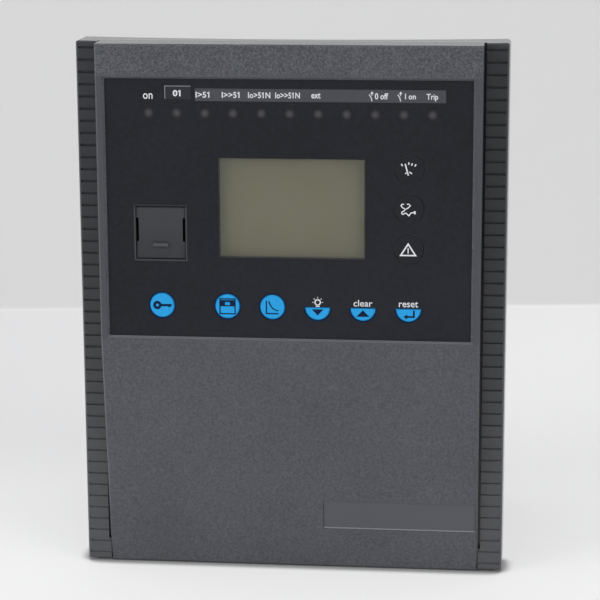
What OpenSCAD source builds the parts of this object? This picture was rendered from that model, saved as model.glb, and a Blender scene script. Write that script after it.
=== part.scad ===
// Flush-mounted protection relay: a ribbed bezel with a raised front panel, a key
// overlay with display and port flap, and a boxed housing behind the mounting panel.
// X runs to the right, Y into the mounting panel and Z up. The origin is the centre of
// the gasket's face, where the relay seats against the front of the mounting panel.

/* [Bezel] */
// Width across the two ribbed strips
bezel_w = 176; // [160:1:200]
// Height of the bezel
bezel_h = 222; // [200:1:250]
// How far the front plane stands out from the mounting panel
bezel_depth = 31; // [30:1:38]
// Wall of the bezel moulding
bezel_wall = 2.5; // [2:0.1:3]
// Corner radius of the bezel outline
bezel_corner_r = 1.6; // [1:0.2:3]
// How much the bezel widens on each side, from the strips to its back
side_flare = 0.3; // [0.2:0.1:1.2]
// Cut across the bezel's lower corners
foot_corner = 3.5; // [2:0.5:5]
// Sag of the bezel's top edge between its corners
top_sag = 0.8; // [0.2:0.1:1.4]
// Border between the bezel's side and the opening in its shelf
shelf_side = 21; // [20:0.5:22]
// Border between the bezel's end and the opening in its shelf
shelf_end = 11; // [9:0.5:14]
// How far the bezel's skirt stops short of the mounting panel
skirt_relief = 0.5; // [0.2:0.1:1]

/* [Ribbed strips] */
// Width of each strip
strip_w = 9.1; // [8:0.1:10]
// How far the strips stand behind the front plane
strip_setback = 12.5; // [11:0.5:13]
// How far the strips end above the foot of the bezel
strip_foot = 1.1; // [0.5:0.1:2]
// Radius of each strip's outer front edge
strip_edge_r = 1.2; // [0.6:0.1:2]
// Spacing of the grooves
groove_pitch = 5; // [4:0.1:5]
// Width of a groove
groove_w = 0.7; // [0.5:0.1:1.2]
// Height of the slope that leads out of a groove's lower side
groove_lip = 0.4; // [0.2:0.1:0.8]
// Depth of a groove
groove_depth = 0.7; // [0.3:0.1:1.2]
// Number of grooves on each strip
groove_count = 44; // [30:1:44]
// Plain land left between the grooves and the strip's outer side
groove_land = 1; // [0.5:0.1:2]
// Height of the groove pattern's middle above the bezel's middle
groove_rise = 0.9; // [-1:0.1:1]

/* [Front panel] */
// Wall behind the front plane
panel_wall = 3; // [2.6:0.1:3.4]
// Side, top and bottom walls
panel_side = 2.5; // [2:0.1:3]
// Seam between the panel and each strip
seam_gap = 1; // [0.6:0.1:1.6]
// Depth of the seam below the strips' face
seam_depth = 3; // [2.6:0.1:4]
// Length at the foot over which the bezel closes the seam
seam_end = 9; // [4:0.5:12]
// How far the sloping face falls back at the panel's foot
foot_setback = 13; // [11:0.5:13.5]
// Plain edge between the film and the start of the slope
slope_margin = 0.8; // [0.4:0.1:3]
// Chamfer along the panel's edges
panel_chamfer = 0.7; // [0.3:0.1:1]
// Chamfer along the panel's foot
foot_chamfer = 1.2; // [0.6:0.1:1.6]

/* [Badge] */
// Width of the bare badge plate
badge_w = 63.5; // [40:0.5:66]
// Height of the badge plate
badge_h = 12.6; // [8:0.1:16]
// Thickness of the badge plate
badge_t = 0.4; // [0.2:0.1:0.8]
// How far the badge plate's face lies below the slope
badge_sink = 0.3; // [0.1:0.1:0.5]
// Margin from the badge plate to the panel's right edge
badge_margin = 1.1; // [1.1:0.1:8]
// Margin from the badge plate to the panel's foot, along the slope
badge_foot = 18; // [10:0.5:30]

/* [Film] */
// Plain edge of the panel on each side of the film
film_side = 3.8; // [3:0.1:6]
// Height of the overlay film
film_h = 105.9; // [104:0.1:112]
// Thickness of the film
film_t = 0.5; // [0.3:0.1:0.8]
// How far the film's face lies below the front plane
film_sink = 1; // [0.6:0.1:1.2]
// Width of the bevel that leads from the front plane down to the film
film_bevel = 0.9; // [0.4:0.1:1.2]
// Distance from the panel's top down to the film
film_top = 14; // [8:0.5:16]
// Corner radius of the film
film_corner_r = 0.5; // [0.4:0.1:2]
// Gap round the film and the other pieces that are laid in a seat
seat_fit = 0.1; // [0.05:0.05:0.2]

/* [Indicators] */
// Number of indicators behind the film
lamp_count = 11; // [5:1:11]
// Distance of the first indicator from the film's left edge
lamp_left = 17.8; // [12:0.1:24]
// Distance of the last indicator from the film's right edge
lamp_right = 16.1; // [12:0.1:24]
// Distance of the indicators below the film's top
lamp_drop = 13.7; // [12:0.1:16]
// Diameter of an indicator's light pipe
lamp_d = 4; // [3:0.1:5]
// Height of the label strip
label_h = 5.4; // [4:0.1:6]
// Thickness of the label strip
label_t = 0.3; // [0.1:0.1:0.4]
// Distance of the label strip from the film's left edge
label_left = 36.5; // [30:0.5:60]
// Distance of the label strip from the film's right edge
label_right = 10.7; // [6:0.1:30]
// Distance of the label strip's middle below the film's top
label_drop = 6.3; // [4:0.1:7]
// Width of the marker sticker
sticker_w = 10.8; // [6:0.1:11]
// Height of the marker sticker
sticker_h = 5.5; // [4:0.1:6]
// Thickness of the marker sticker
sticker_t = 0.15; // [0.1:0.05:0.3]
// Gap between the sticker and the label strip
sticker_gap = 1.3; // [0.5:0.1:4]
// Distance of the sticker's middle below the film's top
sticker_drop = 5.4; // [4:0.1:7]

/* [Keys] */
// Diameter of the round keys in the lower row
key_d = 9.8; // [9:0.1:11]
// Height of the half-round keys' straight edge above their middle
half_rise = 0; // [0:0.1:1]
// Diameter of the keys with white pictograms
icon_key_d = 12; // [10:0.1:12]
// Travel of a key
key_travel = 0.5; // [0.3:0.1:0.6]
// Gap round a key
key_gap = 0.35; // [0.3:0.05:0.5]
// How far a key stands out of the film
key_proud = 0.25; // [0.1:0.05:0.5]
// Width of the retaining rim behind the film, beyond the key's gap
key_rim = 1; // [0.8:0.1:1.3]
// Thickness of the retaining rim
key_rim_t = 0.9; // [0.6:0.1:1]
// Distance of the right-hand keys from the film's right edge
key_right = 25.2; // [20:0.1:27]
// Distance of the row's first key from the film's left edge
key_left = 49; // [44:0.5:52]
// Distance of the password key from the film's left edge
password_left = 22; // [16:0.5:26]
// Distance of the lower row below the film's top
key_drop = 92.9; // [90:0.1:96]
// Distance of the first pictogram key below the film's top
icon_drop = 35; // [32:0.5:38]
// Spacing of the pictogram keys
icon_pitch = 16.5; // [16:0.1:18]

/* [Display] */
// Visible height of the display
display_h = 41.1; // [34:0.1:42]
// Distance of the display from the film's left edge
display_left = 45.8; // [45:0.1:56]
// Distance of the display from the film's right edge
display_right = 42.8; // [42:0.1:56]
// Distance of the display's middle below the film's top
display_drop = 52.1; // [48:0.1:54]
// Ledge in the panel that carries the window
display_ledge = 0.4; // [0.3:0.1:1]
// Border of the display glass that its frame hides
glass_border = 3.4; // [2:0.1:4]
// Wall of the display frame
frame_wall = 3; // [2:0.1:4]
// Front lip of the display frame
frame_lip = 0.8; // [0.5:0.1:1.2]
// Thickness of the display glass
glass_t = 2.2; // [1.5:0.1:2.4]

/* [Port] */
// Clear width of the port well
well_w = 20.5; // [18:0.1:21]
// Clear height of the port well
well_h = 22; // [20:0.1:24]
// Distance of the well's middle from the film's left edge
well_left = 21.8; // [21:0.1:23]
// Distance of the well's middle below the film's top
well_drop = 62.8; // [60:0.1:64]
// Lip of the well that shows inside the film
well_lip = 0.7; // [0.4:0.1:1]
// Wall of the well behind the panel
well_wall = 1.6; // [1.2:0.1:2]
// Depth of the well behind the panel's inner face
well_depth = 9.4; // [8:0.2:10]
// Thickness of the flap
flap_t = 1.6; // [1.2:0.1:1.8]
// Gap round the flap
flap_gap = 0.3; // [0.3:0.05:0.5]
// How far the flap's face lies below the film's face
flap_sink = 0.6; // [0.5:0.1:0.8]
// Radius of the flap's stub pivots
pivot_r = 0.6; // [0.5:0.05:0.7]
// Length of a stub pivot in the well's side
pivot_l = 1; // [0.8:0.1:1.2]
// Running clearance of the pivots, on the radius
pivot_fit = 0.05; // [0.03:0.01:0.08]

/* [Housing] */
// Overhang of the bezel beyond each side of the housing
overhang_side = 8; // [7.5:0.1:9]
// Overhang of the bezel beyond the housing's top and bottom
overhang_end = 12; // [10.5:0.1:14]
// Depth of the housing behind the mounting panel
body_depth = 86; // [80:1:100]
// Wall of the housing
body_wall = 2.2; // [1.8:0.1:3]
// Corner radius of the housing
body_corner_r = 2; // [1:0.5:4]
// Thickness of the housing's flange
flange_t = 2.5; // [2:0.1:3]
// Gap between the flange and the bezel's skirt
flange_gap = 0.3; // [0.2:0.1:0.6]
// Thickness of the gasket
gasket_t = 1.5; // [1:0.1:2]
// Width of the gasket all round
gasket_w = 3; // [2:0.1:3.4]
// Side of the square corner posts
post = 9; // [8:0.5:10]
// Number of vents in the top and in the bottom
vent_count = 11; // [5:1:13]
// Width of a vent
vent_w = 3; // [2:0.1:3.6]
// Length of a vent
vent_l = 45; // [30:1:50]
// Spacing of the vents
vent_pitch = 9; // [6:0.5:9]
// Height of a clip notch in the housing's side
notch_h = 14; // [10:1:20]
// Width of a clip notch
notch_w = 5; // [3:0.5:6]
// Depth of a clip notch
notch_depth = 1.2; // [0.6:0.1:1.4]
// Thickness of the rear plate
plate_t = 1.5; // [1:0.1:2]

/* [Boards] */
// Thickness of the circuit boards
pcb_t = 1.6; // [1.2:0.1:2]
// Height of the bosses that carry the key board
boss_h = 4.2; // [4:0.1:4.6]
// Gap between the mounting panel's plane and the main board
main_y = 10; // [8:0.5:20]
// Length of the spacers between the power board and the rear plate
spacer_l = 12.5; // [11:0.5:16]

/* [Terminals] */
// Number of ways of the screw terminal plug
way_count = 20; // [12:1:20]
// Spacing of the ways
way_pitch = 5.08; // [5:0.01:5.08]
// How far the plug and the current block stand behind the rear plate
terminal_proud = 11.5; // [10:0.5:14]
// Number of current terminals
bay_count = 6; // [4:1:6]
// Clear width of a terminal bay
bay_w = 13.4; // [11:0.1:14]
// Barrier between two bays
barrier = 2; // [1.5:0.1:3]
// Width of a modular socket's mouth
jack_w = 11.7; // [11:0.1:12.5]
// Height of a modular socket's mouth
jack_h = 7; // [6.5:0.1:8]

/* [Hidden] */
$fn = 48;
// Overshoot of a cut through the face that it opens
cut = 1;
// Straight runs that make up the bezel's sagging top edge
sag_steps = 16;

// Front planes, from the mounting panel outwards
front_y = -bezel_depth;
strip_y = front_y + strip_setback;
shelf_y = strip_y + seam_depth;
skirt_y = -skirt_relief;
film_y = front_y + film_sink;
bed_y = film_y + film_t;
panel_in_y = front_y + panel_wall;
top_z = bezel_h / 2;
strip_x = bezel_w / 2 - strip_w;
back_w = bezel_w + 2 * side_flare;
panel_w = 2 * (strip_x - seam_gap);

// Film and the sloping face below it
film_w = panel_w - 2 * film_side;
film_left = -film_w / 2;
film_right = film_w / 2;
film_z1 = top_z - film_top;
film_z0 = film_z1 - film_h;
film_z = (film_z0 + film_z1) / 2;
slope_z = film_z0 - slope_margin;
slope_h = slope_z + top_z;
slope_angle = atan(foot_setback / slope_h);
slope_l = norm([foot_setback, slope_h]);
badge_x = panel_w / 2 - badge_margin - badge_w / 2;
badge_z = -slope_l + badge_foot + badge_h / 2;

// Rows and columns on the film
lamp_x = film_left + lamp_left;
lamp_pitch = (film_right - lamp_right - lamp_x) / (lamp_count - 1);
lamp_z = film_z1 - lamp_drop;
label_w = film_w - label_left - label_right;
label_x = (label_left - label_right) / 2;
label_z = film_z1 - label_drop;
sticker_x = label_x - label_w / 2 - sticker_gap - sticker_w / 2;
sticker_z = film_z1 - sticker_drop;
key_x = film_right - key_right;
key_pitch = (key_x - film_left - key_left) / 4;
password_x = film_left + password_left;
key_z = film_z1 - key_drop;
icon_z = film_z1 - icon_drop;
display_w = film_w - display_left - display_right;
display_x = (display_left - display_right) / 2;
display_z = film_z1 - display_drop;
well_x = film_left + well_left;
well_z = film_z1 - well_drop;
password_key = [password_x, key_z, key_d, key_d / 2];
round_keys = [for (i = [4, 3]) [key_x - i * key_pitch, key_z, key_d, key_d / 2]];
half_keys = [for (i = [2, 1, 0]) [key_x - i * key_pitch, key_z, key_d, half_rise]];
icon_keys = [for (i = [0:2]) [key_x, icon_z - i * icon_pitch, icon_key_d, icon_key_d / 2]];
all_keys = concat([password_key], round_keys, half_keys, icon_keys);

// Key board and what stands on it
board_y = panel_in_y + boss_h;
board_back_y = board_y + pcb_t;
board_edge = 2;
boss_r = 2.8;
boss_side = 4;
boss_top = 6;
boss_foot = 8;
boss_x = film_w / 2 - boss_side;
boss_rows = [film_z1 - boss_top, film_z, film_z0 + boss_foot];
screw_gap = 0.15;
dome_h = 0.6;
dome_r = 3.5;
press_gap = 0.3;
plunger_r = 2;
plunger_y = board_y - dome_h - press_gap - key_travel;
glass_w = display_w + 2 * glass_border;
glass_h = display_h + 2 * glass_border;
glass_y = panel_in_y + frame_lip;
backlight_y = glass_y + glass_t;
guide_t = 2;
guide_h = 6;
lamp_fit = 0.1;
chip_t = 1.2;
chip_w = 3;

// Port well, flap and socket
well_z1 = well_z + well_h / 2;
well_back_y = panel_in_y + well_depth;
well_out_w = well_w + 2 * well_wall;
well_out_h = well_h + 2 * well_wall;
flap_w = well_w - 2 * flap_gap;
flap_y = film_y + flap_sink;
pivot_y = flap_y + flap_t / 2;
pivot_z = well_z1 - flap_gap - flap_t / 2;
flap_bottom_z = well_z - well_h / 2 + flap_gap + 0.1;
flap_notch_h = 9.7;
flap_notch_drop = 13.6;
flap_notch_d = 0.9;
grip_w = 6.2;
grip_t = 1.3;
grip_proud = 0.8;
grip_rise = 5;
socket_r = 6.2;
socket_fit = 0.2;
socket_ring = 1.2;
socket_core_r = 3.4;
socket_w = 14.4;
socket_l = 11;
socket_y = well_back_y + well_wall;
port_board_w = 22;

// Housing and the planes behind the mounting panel
body_w = bezel_w - 2 * overhang_side;
body_h = bezel_h - 2 * overhang_end;
opening_w = bezel_w - 2 * shelf_side;
opening_h = bezel_h - 2 * shelf_end;
gasket_in = 0.5;
flange_y = -gasket_t - flange_t;
flange_w = bezel_w - 2 * (bezel_wall + flange_gap);
flange_h = bezel_h - 2 * (bezel_wall + flange_gap + top_sag);
inner_w = body_w - 2 * body_wall;
inner_h = body_h - 2 * body_wall;
post_x = inner_w / 2 - post / 2;
post_z = inner_h / 2 - post / 2;
bezel_screw_in = 4.4;
bezel_screw_x = opening_w / 2 + bezel_screw_in;
plate_y = body_depth - plate_t;
plate_gap = 0.2;
vent_y = 20;
notch_y = 8;
notch_z = 60;

// Boards inside the housing
post_gap = 1;
pillar_in = 5;
board_margin = post + post_gap;
board_w = inner_w - 2 * board_margin;
board_h = inner_h - 2 * board_margin;
pillar_x = board_w / 2 - pillar_in;
pillar_z = board_h / 2 - pillar_in;
pillar_r = 3.2;
main_back_y = main_y + pcb_t;
power_back_y = plate_y - spacer_l;
power_y = power_back_y - pcb_t;
screw_r = 1.2;
thread_gap = 0.1;
head_t = 1.8;
head_r = 2.6;
screw_l = 8;

// Packages on the main board
cpu_x = -20;
cpu_z = -10;
cpu_w = 24;
cpu_t = 2;
memory_x = 10;
memory_z = -14;
memory_w = 12;
memory_h = 18;
memory_t = 1.2;
memory_pitch = 18;
driver_x = -10;
driver_z = -40;
driver_w = 18;
driver_h = 8;
driver_t = 1.6;
driver_pitch = 16;

// Ribbon cable between the key board and the main board
ribbon_x = 18;
ribbon_z = 30;
ribbon_w = 28;
ribbon_t = 1;
ribbon_sway = 6;
ribbon_header_l = 6;
ribbon_header_h = 6;
ribbon_header_side = 2;
ribbon_y0 = board_back_y + ribbon_header_l;
ribbon_y1 = main_y - ribbon_header_l;
ribbon_steps = 16;

// Riser card and the parts on the power board's front face
riser_x = 30;
riser_z = 8;
riser_h = 60;
core_w = 40;
core_h = 34;
core_t = 20;
core_leg = 13;
core_window = 9;
core_in = 26.8;
core_x = core_in - pillar_x;
core_z = 34;
coil_fit = 0.2;
coil_end = 4;
can_r = 9;
can_l = 30;
can_in = 12.8;
can_x = can_in - pillar_x;
can_z = 68;
can_pitch = 22;
can_groove = 0.8;
can_foot = 4;
relay_w = 13;
relay_h = 29;
relay_l = 16;
relay_x = -2;
relay_z = -8;
relay_pitch = 16;

// Rear connectors
header_in = 15.8;
header_drop = 9.5;
header_wall = 1.2;
header_base = 3;
header_proud = 2;
plug_fit = 0.3;
plug_l = way_count * way_pitch + 4;
plug_w = 13;
plug_flare = 1.6;
plug_end_y = body_depth + terminal_proud;
header_l = plug_l + 2 * (plug_fit + header_wall);
header_w = plug_w + 2 * (plug_fit + header_wall);
header_x = board_w / 2 - header_in;
header_z = pillar_z - header_drop - header_l / 2;
header_end_y = body_depth + header_proud;
header_base_y = power_back_y + header_base;
pin_w = 1;
pin_l = 8;
pin_fit = 0.3;
wire_hole = 3.2;
wire_depth = 7;
wire_x = -3.4;
way_screw_x = 3.2;
way_screw_r = 1.6;
way_screw_fit = 0.1;
way_screw_l = 3;
way_screw_sink = 5.4;
driver_slot = 0.8;

block_in = 5.6;
block_foot = 14.8;
block_w = bay_count * bay_w + (bay_count + 1) * barrier;
block_h = 40;
block_x = block_w / 2 + block_in - pillar_x;
block_z = block_h / 2 + block_foot - inner_h / 2;
block_band = 12;
block_floor = 4;
block_neck_side = 8;
block_neck_w = block_w - 2 * block_neck_side;
block_neck_h = 18;
block_neck_l = 8;
bay_floor_y = body_depth + block_floor;
bay_screw_drop = 2;
bay_screw_z = block_z - bay_screw_drop;
bay_screw_r = 1.9;
bay_head_r = 4;
bay_head_t = 3;
bay_washer_r = 5;
bay_washer_t = 1;
block_screw_in = 8;
block_screw_x = block_w / 2 - block_screw_in;
block_screw_z = block_z + block_h / 2 - block_band / 2;
block_screw_sink = 3;
sensor_r = 10;
sensor_bore = 5;
sensor_t = 12;
sensor_pitch = 28;

jack_drop = 19.8;
jack_z = pillar_z - jack_drop;
comm_x = 12;
link_x = -12;
jack_wall = 2.1;
jack_depth = 12;
jack_latch_w = 6;
jack_latch_h = 2;
jack_body_w = jack_w + 2 * jack_wall;
jack_body_h = jack_h + jack_latch_h + 2 * jack_wall;
jack_end_y = body_depth + header_proud;

earth_in = 2.8;
earth_x = earth_in - pillar_x;
earth_z = 30;
earth_r = 2;
earth_head_r = 4;
earth_head_t = 3;
earth_washer_r = 5.5;
earth_washer_t = 1;
earth_l = 6;

// Plate in the XZ plane from y0 to y1
module slab(y0, y1) {
    translate([0, y1, 0]) rotate([90, 0, 0]) linear_extrude(y1 - y0) children();
}

// Round bar along Y
module rod_y(r, y0, y1) {
    translate([0, y0, 0]) rotate([-90, 0, 0]) cylinder(r = r, h = y1 - y0);
}

// Section in the YZ plane drawn out along X
module drawn_x(w) {
    rotate([90, 0, 90]) linear_extrude(w, center = true) children();
}

// Places its children at a point of the front
module at(x, z) {
    translate([x, 0, z]) children();
}

// Rectangle with round corners
module rounded(w, h, r) {
    square([w - 2 * r, h], center = true);
    square([w, h - 2 * r], center = true);
    for (x = [-1, 1], z = [-1, 1])
        translate([x * (w / 2 - r), z * (h / 2 - r)]) circle(r = r);
}

// Puts its children in the four corners
module corners(x, z) {
    for (i = [-1, 1], k = [-1, 1]) at(i * x, k * z) children();
}

// Pan head screw along Y with its head's outer face at y and a cross slot
module screw(y, reach, r = screw_r, head = head_r, head_h = head_t, way = 1) {
    translate([0, y, 0]) rotate([way > 0 ? -90 : 90, 0, 0]) difference() {
        union() {
            cylinder(r = head, h = head_h);
            cylinder(r = r, h = head_h + reach);
        }
        for (turn = [0, 90]) rotate(turn)
            translate([-head * 0.6, -driver_slot / 2, -cut])
                cube([head * 1.2, driver_slot, cut + head_h * 0.5]);
    }
}

// Top edge of the bezel, which sags a little between its corners
function sag_at(x) = top_z - top_sag * (1 - pow(2 * x / back_w, 2));

// Field below the bezel's sagging top edge
module sag_field() {
    polygon(concat(
        [[-back_w / 2 - cut, -top_z - cut], [back_w / 2 + cut, -top_z - cut]],
        [for (i = [0:sag_steps]) let (x = back_w * (0.5 - i / sag_steps)) [x, sag_at(x)]]
    ));
}

// Outline that the strips are cut to
module strip_outline() {
    intersection() {
        rounded(back_w, bezel_h, bezel_corner_r);
        sag_field();
    }
}

// Outline of the bezel's back, with its lower corners cut off
module bezel_outline() {
    difference() {
        strip_outline();
        for (side = [-1, 1]) translate([side * back_w / 2, -top_z])
            rotate(45) square(foot_corner * sqrt(2), center = true);
    }
}

// Section of the bezel's skirt, which widens towards the mounting panel
module skirt_section() {
    polygon([[-bezel_w / 2, shelf_y], [bezel_w / 2, shelf_y],
             [back_w / 2, skirt_y], [-back_w / 2, skirt_y]]);
}

// Section of the right-hand strip, with its round outer edge
module strip_section() {
    depth = seam_depth + bezel_wall;
    translate([strip_x, strip_y + strip_edge_r]) square([strip_w, depth - strip_edge_r]);
    translate([strip_x, strip_y]) square([strip_w - strip_edge_r, depth]);
    translate([bezel_w / 2 - strip_edge_r, strip_y + strip_edge_r]) circle(r = strip_edge_r);
}

// Groove with a level upper side and a lower side that slopes out
module groove_section() {
    low = -groove_w / 2;
    polygon([[-cut, -low], [groove_depth, -low], [groove_depth, low],
             [0, low - groove_lip], [-cut, low - groove_lip]]);
}

module strip_grooves() {
    run = strip_w - groove_land + cut;
    for (i = [0:groove_count - 1])
        translate([strip_x - cut + run / 2, strip_y,
                   groove_rise + (i - (groove_count - 1) / 2) * groove_pitch])
            drawn_x(run) groove_section();
}

// Square bar laid with its corner into an edge, to chamfer it
module edge_bar(l, leg) {
    rotate([0, 90, 0]) rotate(45) cube([leg * sqrt(2), leg * sqrt(2), l], center = true);
}

module bezel_frame() {
    boss_out_r = 3.4;
    color("#45464a") difference() {
        union() {
            difference() {
                union() {
                    intersection() {
                        slab(shelf_y, skirt_y) bezel_outline();
                        linear_extrude(bezel_h + cut, center = true) skirt_section();
                    }
                    intersection() {
                        union() for (side = [0, 1]) mirror([side, 0, 0])
                            translate([0, 0, strip_foot - top_z])
                                linear_extrude(bezel_h - strip_foot) strip_section();
                        slab(strip_y - cut, shelf_y + bezel_wall) strip_outline();
                    }
                }
                slab(shelf_y + bezel_wall, skirt_y + cut)
                    rounded(bezel_w - 2 * bezel_wall, bezel_h - 2 * (bezel_wall + top_sag),
                            bezel_corner_r / 2);
                for (side = [-1, 1]) at(side * (strip_x + strip_w / 2), 0)
                    slab(strip_y + bezel_wall, shelf_y + bezel_wall + cut)
                        square([strip_w - 2 * bezel_wall, bezel_h - 4 * bezel_wall],
                               center = true);
                slab(shelf_y - cut, shelf_y + bezel_wall + cut)
                    square([opening_w, opening_h], center = true);
            }
            corners(bezel_screw_x, post_z) rod_y(boss_out_r, shelf_y + cut, flange_y);
            for (side = [0, 1]) mirror([side, 0, 0])
                translate([panel_w / 2 + seat_fit, strip_y, strip_foot - top_z])
                    cube([seam_gap, seam_depth + cut, seam_end]);
        }
        for (side = [0, 1]) mirror([side, 0, 0]) {
            strip_grooves();
            for (end = [-1, 1])
                translate([bezel_w / 2 - strip_w / 2, strip_y,
                           end > 0 ? top_z : strip_foot - top_z])
                    edge_bar(strip_w + 2 * seam_gap + cut, panel_chamfer);
        }
        corners(bezel_screw_x, post_z) {
            rod_y(head_r + screw_gap, shelf_y - cut, shelf_y + head_t);
            rod_y(screw_r + screw_gap, shelf_y, flange_y + cut);
        }
    }
}

module bezel_screws() {
    color("silver") corners(bezel_screw_x, post_z)
        screw(shelf_y, flange_y - shelf_y - head_t + screw_l);
}

// Places its children on the sloping face, with Z up the slope and Y into the panel
module on_slope() {
    translate([0, front_y, slope_z]) rotate([slope_angle, 0, 0]) children();
}

module panel_section() {
    polygon([[front_y, top_z], [front_y, slope_z], [front_y + foot_setback, -top_z],
             [shelf_y, -top_z], [shelf_y, top_z]]);
}

module panel_hollow() {
    foot_y = min(front_y + foot_setback + panel_wall, shelf_y + cut / 2);
    polygon([[panel_in_y, top_z - panel_side], [panel_in_y, slope_z],
             [foot_y, panel_side - top_z], [shelf_y + cut, panel_side - top_z],
             [shelf_y + cut, top_z - panel_side]]);
}

module panel_edges() {
    for (side = [-1, 1]) translate([side * panel_w / 2, 0, 0]) {
        translate([0, front_y, (top_z + slope_z) / 2])
            rotate([0, 90, 0]) edge_bar(top_z - slope_z, panel_chamfer);
        on_slope() translate([0, 0, -slope_l / 2])
            rotate([0, 90, 0]) edge_bar(slope_l + cut, panel_chamfer);
    }
    translate([0, front_y, top_z]) edge_bar(panel_w + cut, panel_chamfer);
    translate([0, front_y + foot_setback, -top_z]) edge_bar(panel_w + cut, foot_chamfer);
}

// Upright prism that keeps what lies below a key's top edge
module below_top(key, grow, y0, y1) {
    reach = key[2] + 2 * cut;
    translate([-reach / 2, y0, -reach]) cube([reach, y1 - y0, reach + key[3] + grow]);
}

// Radius of a key's retaining rim
function rim_r(key) = key[2] / 2 + key_gap + key_rim;

// Holes for the keys; a key is [x, z, diameter, height of its top edge above its middle]
module key_holes(y0, y1) {
    for (k = all_keys) at(k[0], k[1]) intersection() {
        rod_y(k[2] / 2 + key_gap, y0, y1);
        below_top(k, key_gap, y0 - cut, y1 + cut);
    }
}

module lamp_places() {
    for (i = [0:lamp_count - 1]) at(lamp_x + i * lamp_pitch, lamp_z) children();
}

module boss_places() {
    for (x = [-boss_x, boss_x], z = boss_rows) at(x, z) children();
}

module well_collar(extra) {
    square([well_w + 2 * (well_lip + extra), well_h + 2 * (well_lip + extra)], center = true);
}

// Mouth of the film's seat, which widens from the film to the front plane
module film_mouth() {
    half_w = film_w / 2 + seat_fit;
    half_h = film_h / 2 + seat_fit;
    run = film_sink + cut;
    grow = film_bevel * run / film_sink;
    translate([0, film_y, film_z]) intersection() {
        linear_extrude(film_h + 2 * (grow + cut), center = true)
            polygon([[-half_w, 0], [half_w, 0], [half_w + grow, -run], [-half_w - grow, -run]]);
        drawn_x(film_w + 2 * (grow + cut))
            polygon([[0, -half_h], [0, half_h], [-run, half_h + grow], [-run, -half_h - grow]]);
    }
}

// Raised cover with a vertical upper face and a lower face that slopes back
module front_panel() {
    color("#58595d") difference() {
        union() {
            difference() {
                drawn_x(panel_w) panel_section();
                drawn_x(panel_w - 2 * panel_side) panel_hollow();
            }
            boss_places() rod_y(boss_r, panel_in_y - cut, board_y);
            at(well_x, well_z) slab(panel_in_y - cut, socket_y)
                square([well_out_w, well_out_h], center = true);
        }
        panel_edges();
        film_mouth();
        difference() {
            slab(front_y - cut, bed_y) at_film() rounded_film(seat_fit);
            at(well_x, well_z) slab(front_y - 2 * cut, bed_y + cut) well_collar(0);
        }
        at(display_x, display_z) slab(front_y - cut, panel_in_y + cut)
            square([display_w - 2 * display_ledge, display_h - 2 * display_ledge],
                   center = true);
        for (k = all_keys) at(k[0], k[1])
            rod_y(rim_r(k) + key_gap, front_y - cut, panel_in_y + cut);
        lamp_places() rod_y(lamp_d / 2 + lamp_fit, front_y - cut, panel_in_y + cut);
        boss_places() rod_y(screw_r + thread_gap, panel_in_y, board_y + cut);
        at(well_x, well_z) {
            slab(front_y - cut, well_back_y) square([well_w, well_h], center = true);
            rod_y(socket_r + socket_fit, well_back_y - cut, socket_y + cut);
        }
        translate([well_x, pivot_y, pivot_z]) rotate([0, 90, 0])
            cylinder(r = pivot_r + pivot_fit,
                     h = well_w + 2 * (pivot_l + pivot_fit), center = true);
        on_slope() translate([badge_x, 0, badge_z]) slab(-cut, badge_sink + badge_t)
            square([badge_w + 2 * seat_fit, badge_h + 2 * seat_fit], center = true);
    }
}

// Bare plate, a little below the sloping face in its seat
module badge_plate() {
    color("#3f4044") on_slope() translate([badge_x, badge_sink, badge_z]) slab(0, badge_t)
        square([badge_w, badge_h], center = true);
}

// Moves a flat outline to the film's middle
module at_film() {
    translate([0, film_z]) children();
}

module rounded_film(extra) {
    rounded(film_w + 2 * extra, film_h + 2 * extra, film_corner_r);
}

module overlay() {
    color("#2c2d31") difference() {
        slab(film_y, bed_y) at_film() rounded_film(0);
        key_holes(film_y - cut, bed_y + cut);
        slab(film_y - cut, bed_y + cut) {
            translate([display_x, display_z]) square([display_w, display_h], center = true);
            translate([label_x, label_z]) square([label_w, label_h], center = true);
            translate([well_x, well_z]) well_collar(seat_fit);
        }
    }
}

module led_label() {
    color("#4e4f55") at(label_x, label_z) slab(bed_y - label_t, bed_y)
        square([label_w - 2 * seat_fit, label_h - 2 * seat_fit], center = true);
}

module marker_sticker() {
    color("#3a3b40") at(sticker_x, sticker_z) slab(film_y - sticker_t, film_y)
        square([sticker_w, sticker_h], center = true);
}

// Key with a shallow crown, a retaining rim behind the film and a plunger
module key_cap(key) {
    r = key[2] / 2;
    at(key[0], key[1]) {
        intersection() {
            union() {
                translate([0, film_y - key_proud, 0]) rotate([-90, 0, 0])
                    cylinder(r1 = r - key_proud, r2 = r, h = key_proud);
                rod_y(r, film_y, bed_y);
            }
            below_top(key, 0, film_y - key_proud, bed_y);
        }
        rod_y(rim_r(key), bed_y, bed_y + key_rim_t);
        rod_y(plunger_r, bed_y, plunger_y);
    }
}

module key_meter() { color("#2b2c30") key_cap(icon_keys[0]); }

module key_diagnosis() { color("#2b2c30") key_cap(icon_keys[1]); }

module key_alarm() { color("#2b2c30") key_cap(icon_keys[2]); }

module key_password() { color("#2f9fdf") key_cap(password_key); }

module key_parameters() { color("#2f9fdf") key_cap(round_keys[0]); }

module key_curves() { color("#2f9fdf") key_cap(round_keys[1]); }

module key_down() { color("#2f9fdf") key_cap(half_keys[0]); }

module key_up() { color("#2f9fdf") key_cap(half_keys[1]); }

module key_enter() { color("#2f9fdf") key_cap(half_keys[2]); }

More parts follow.
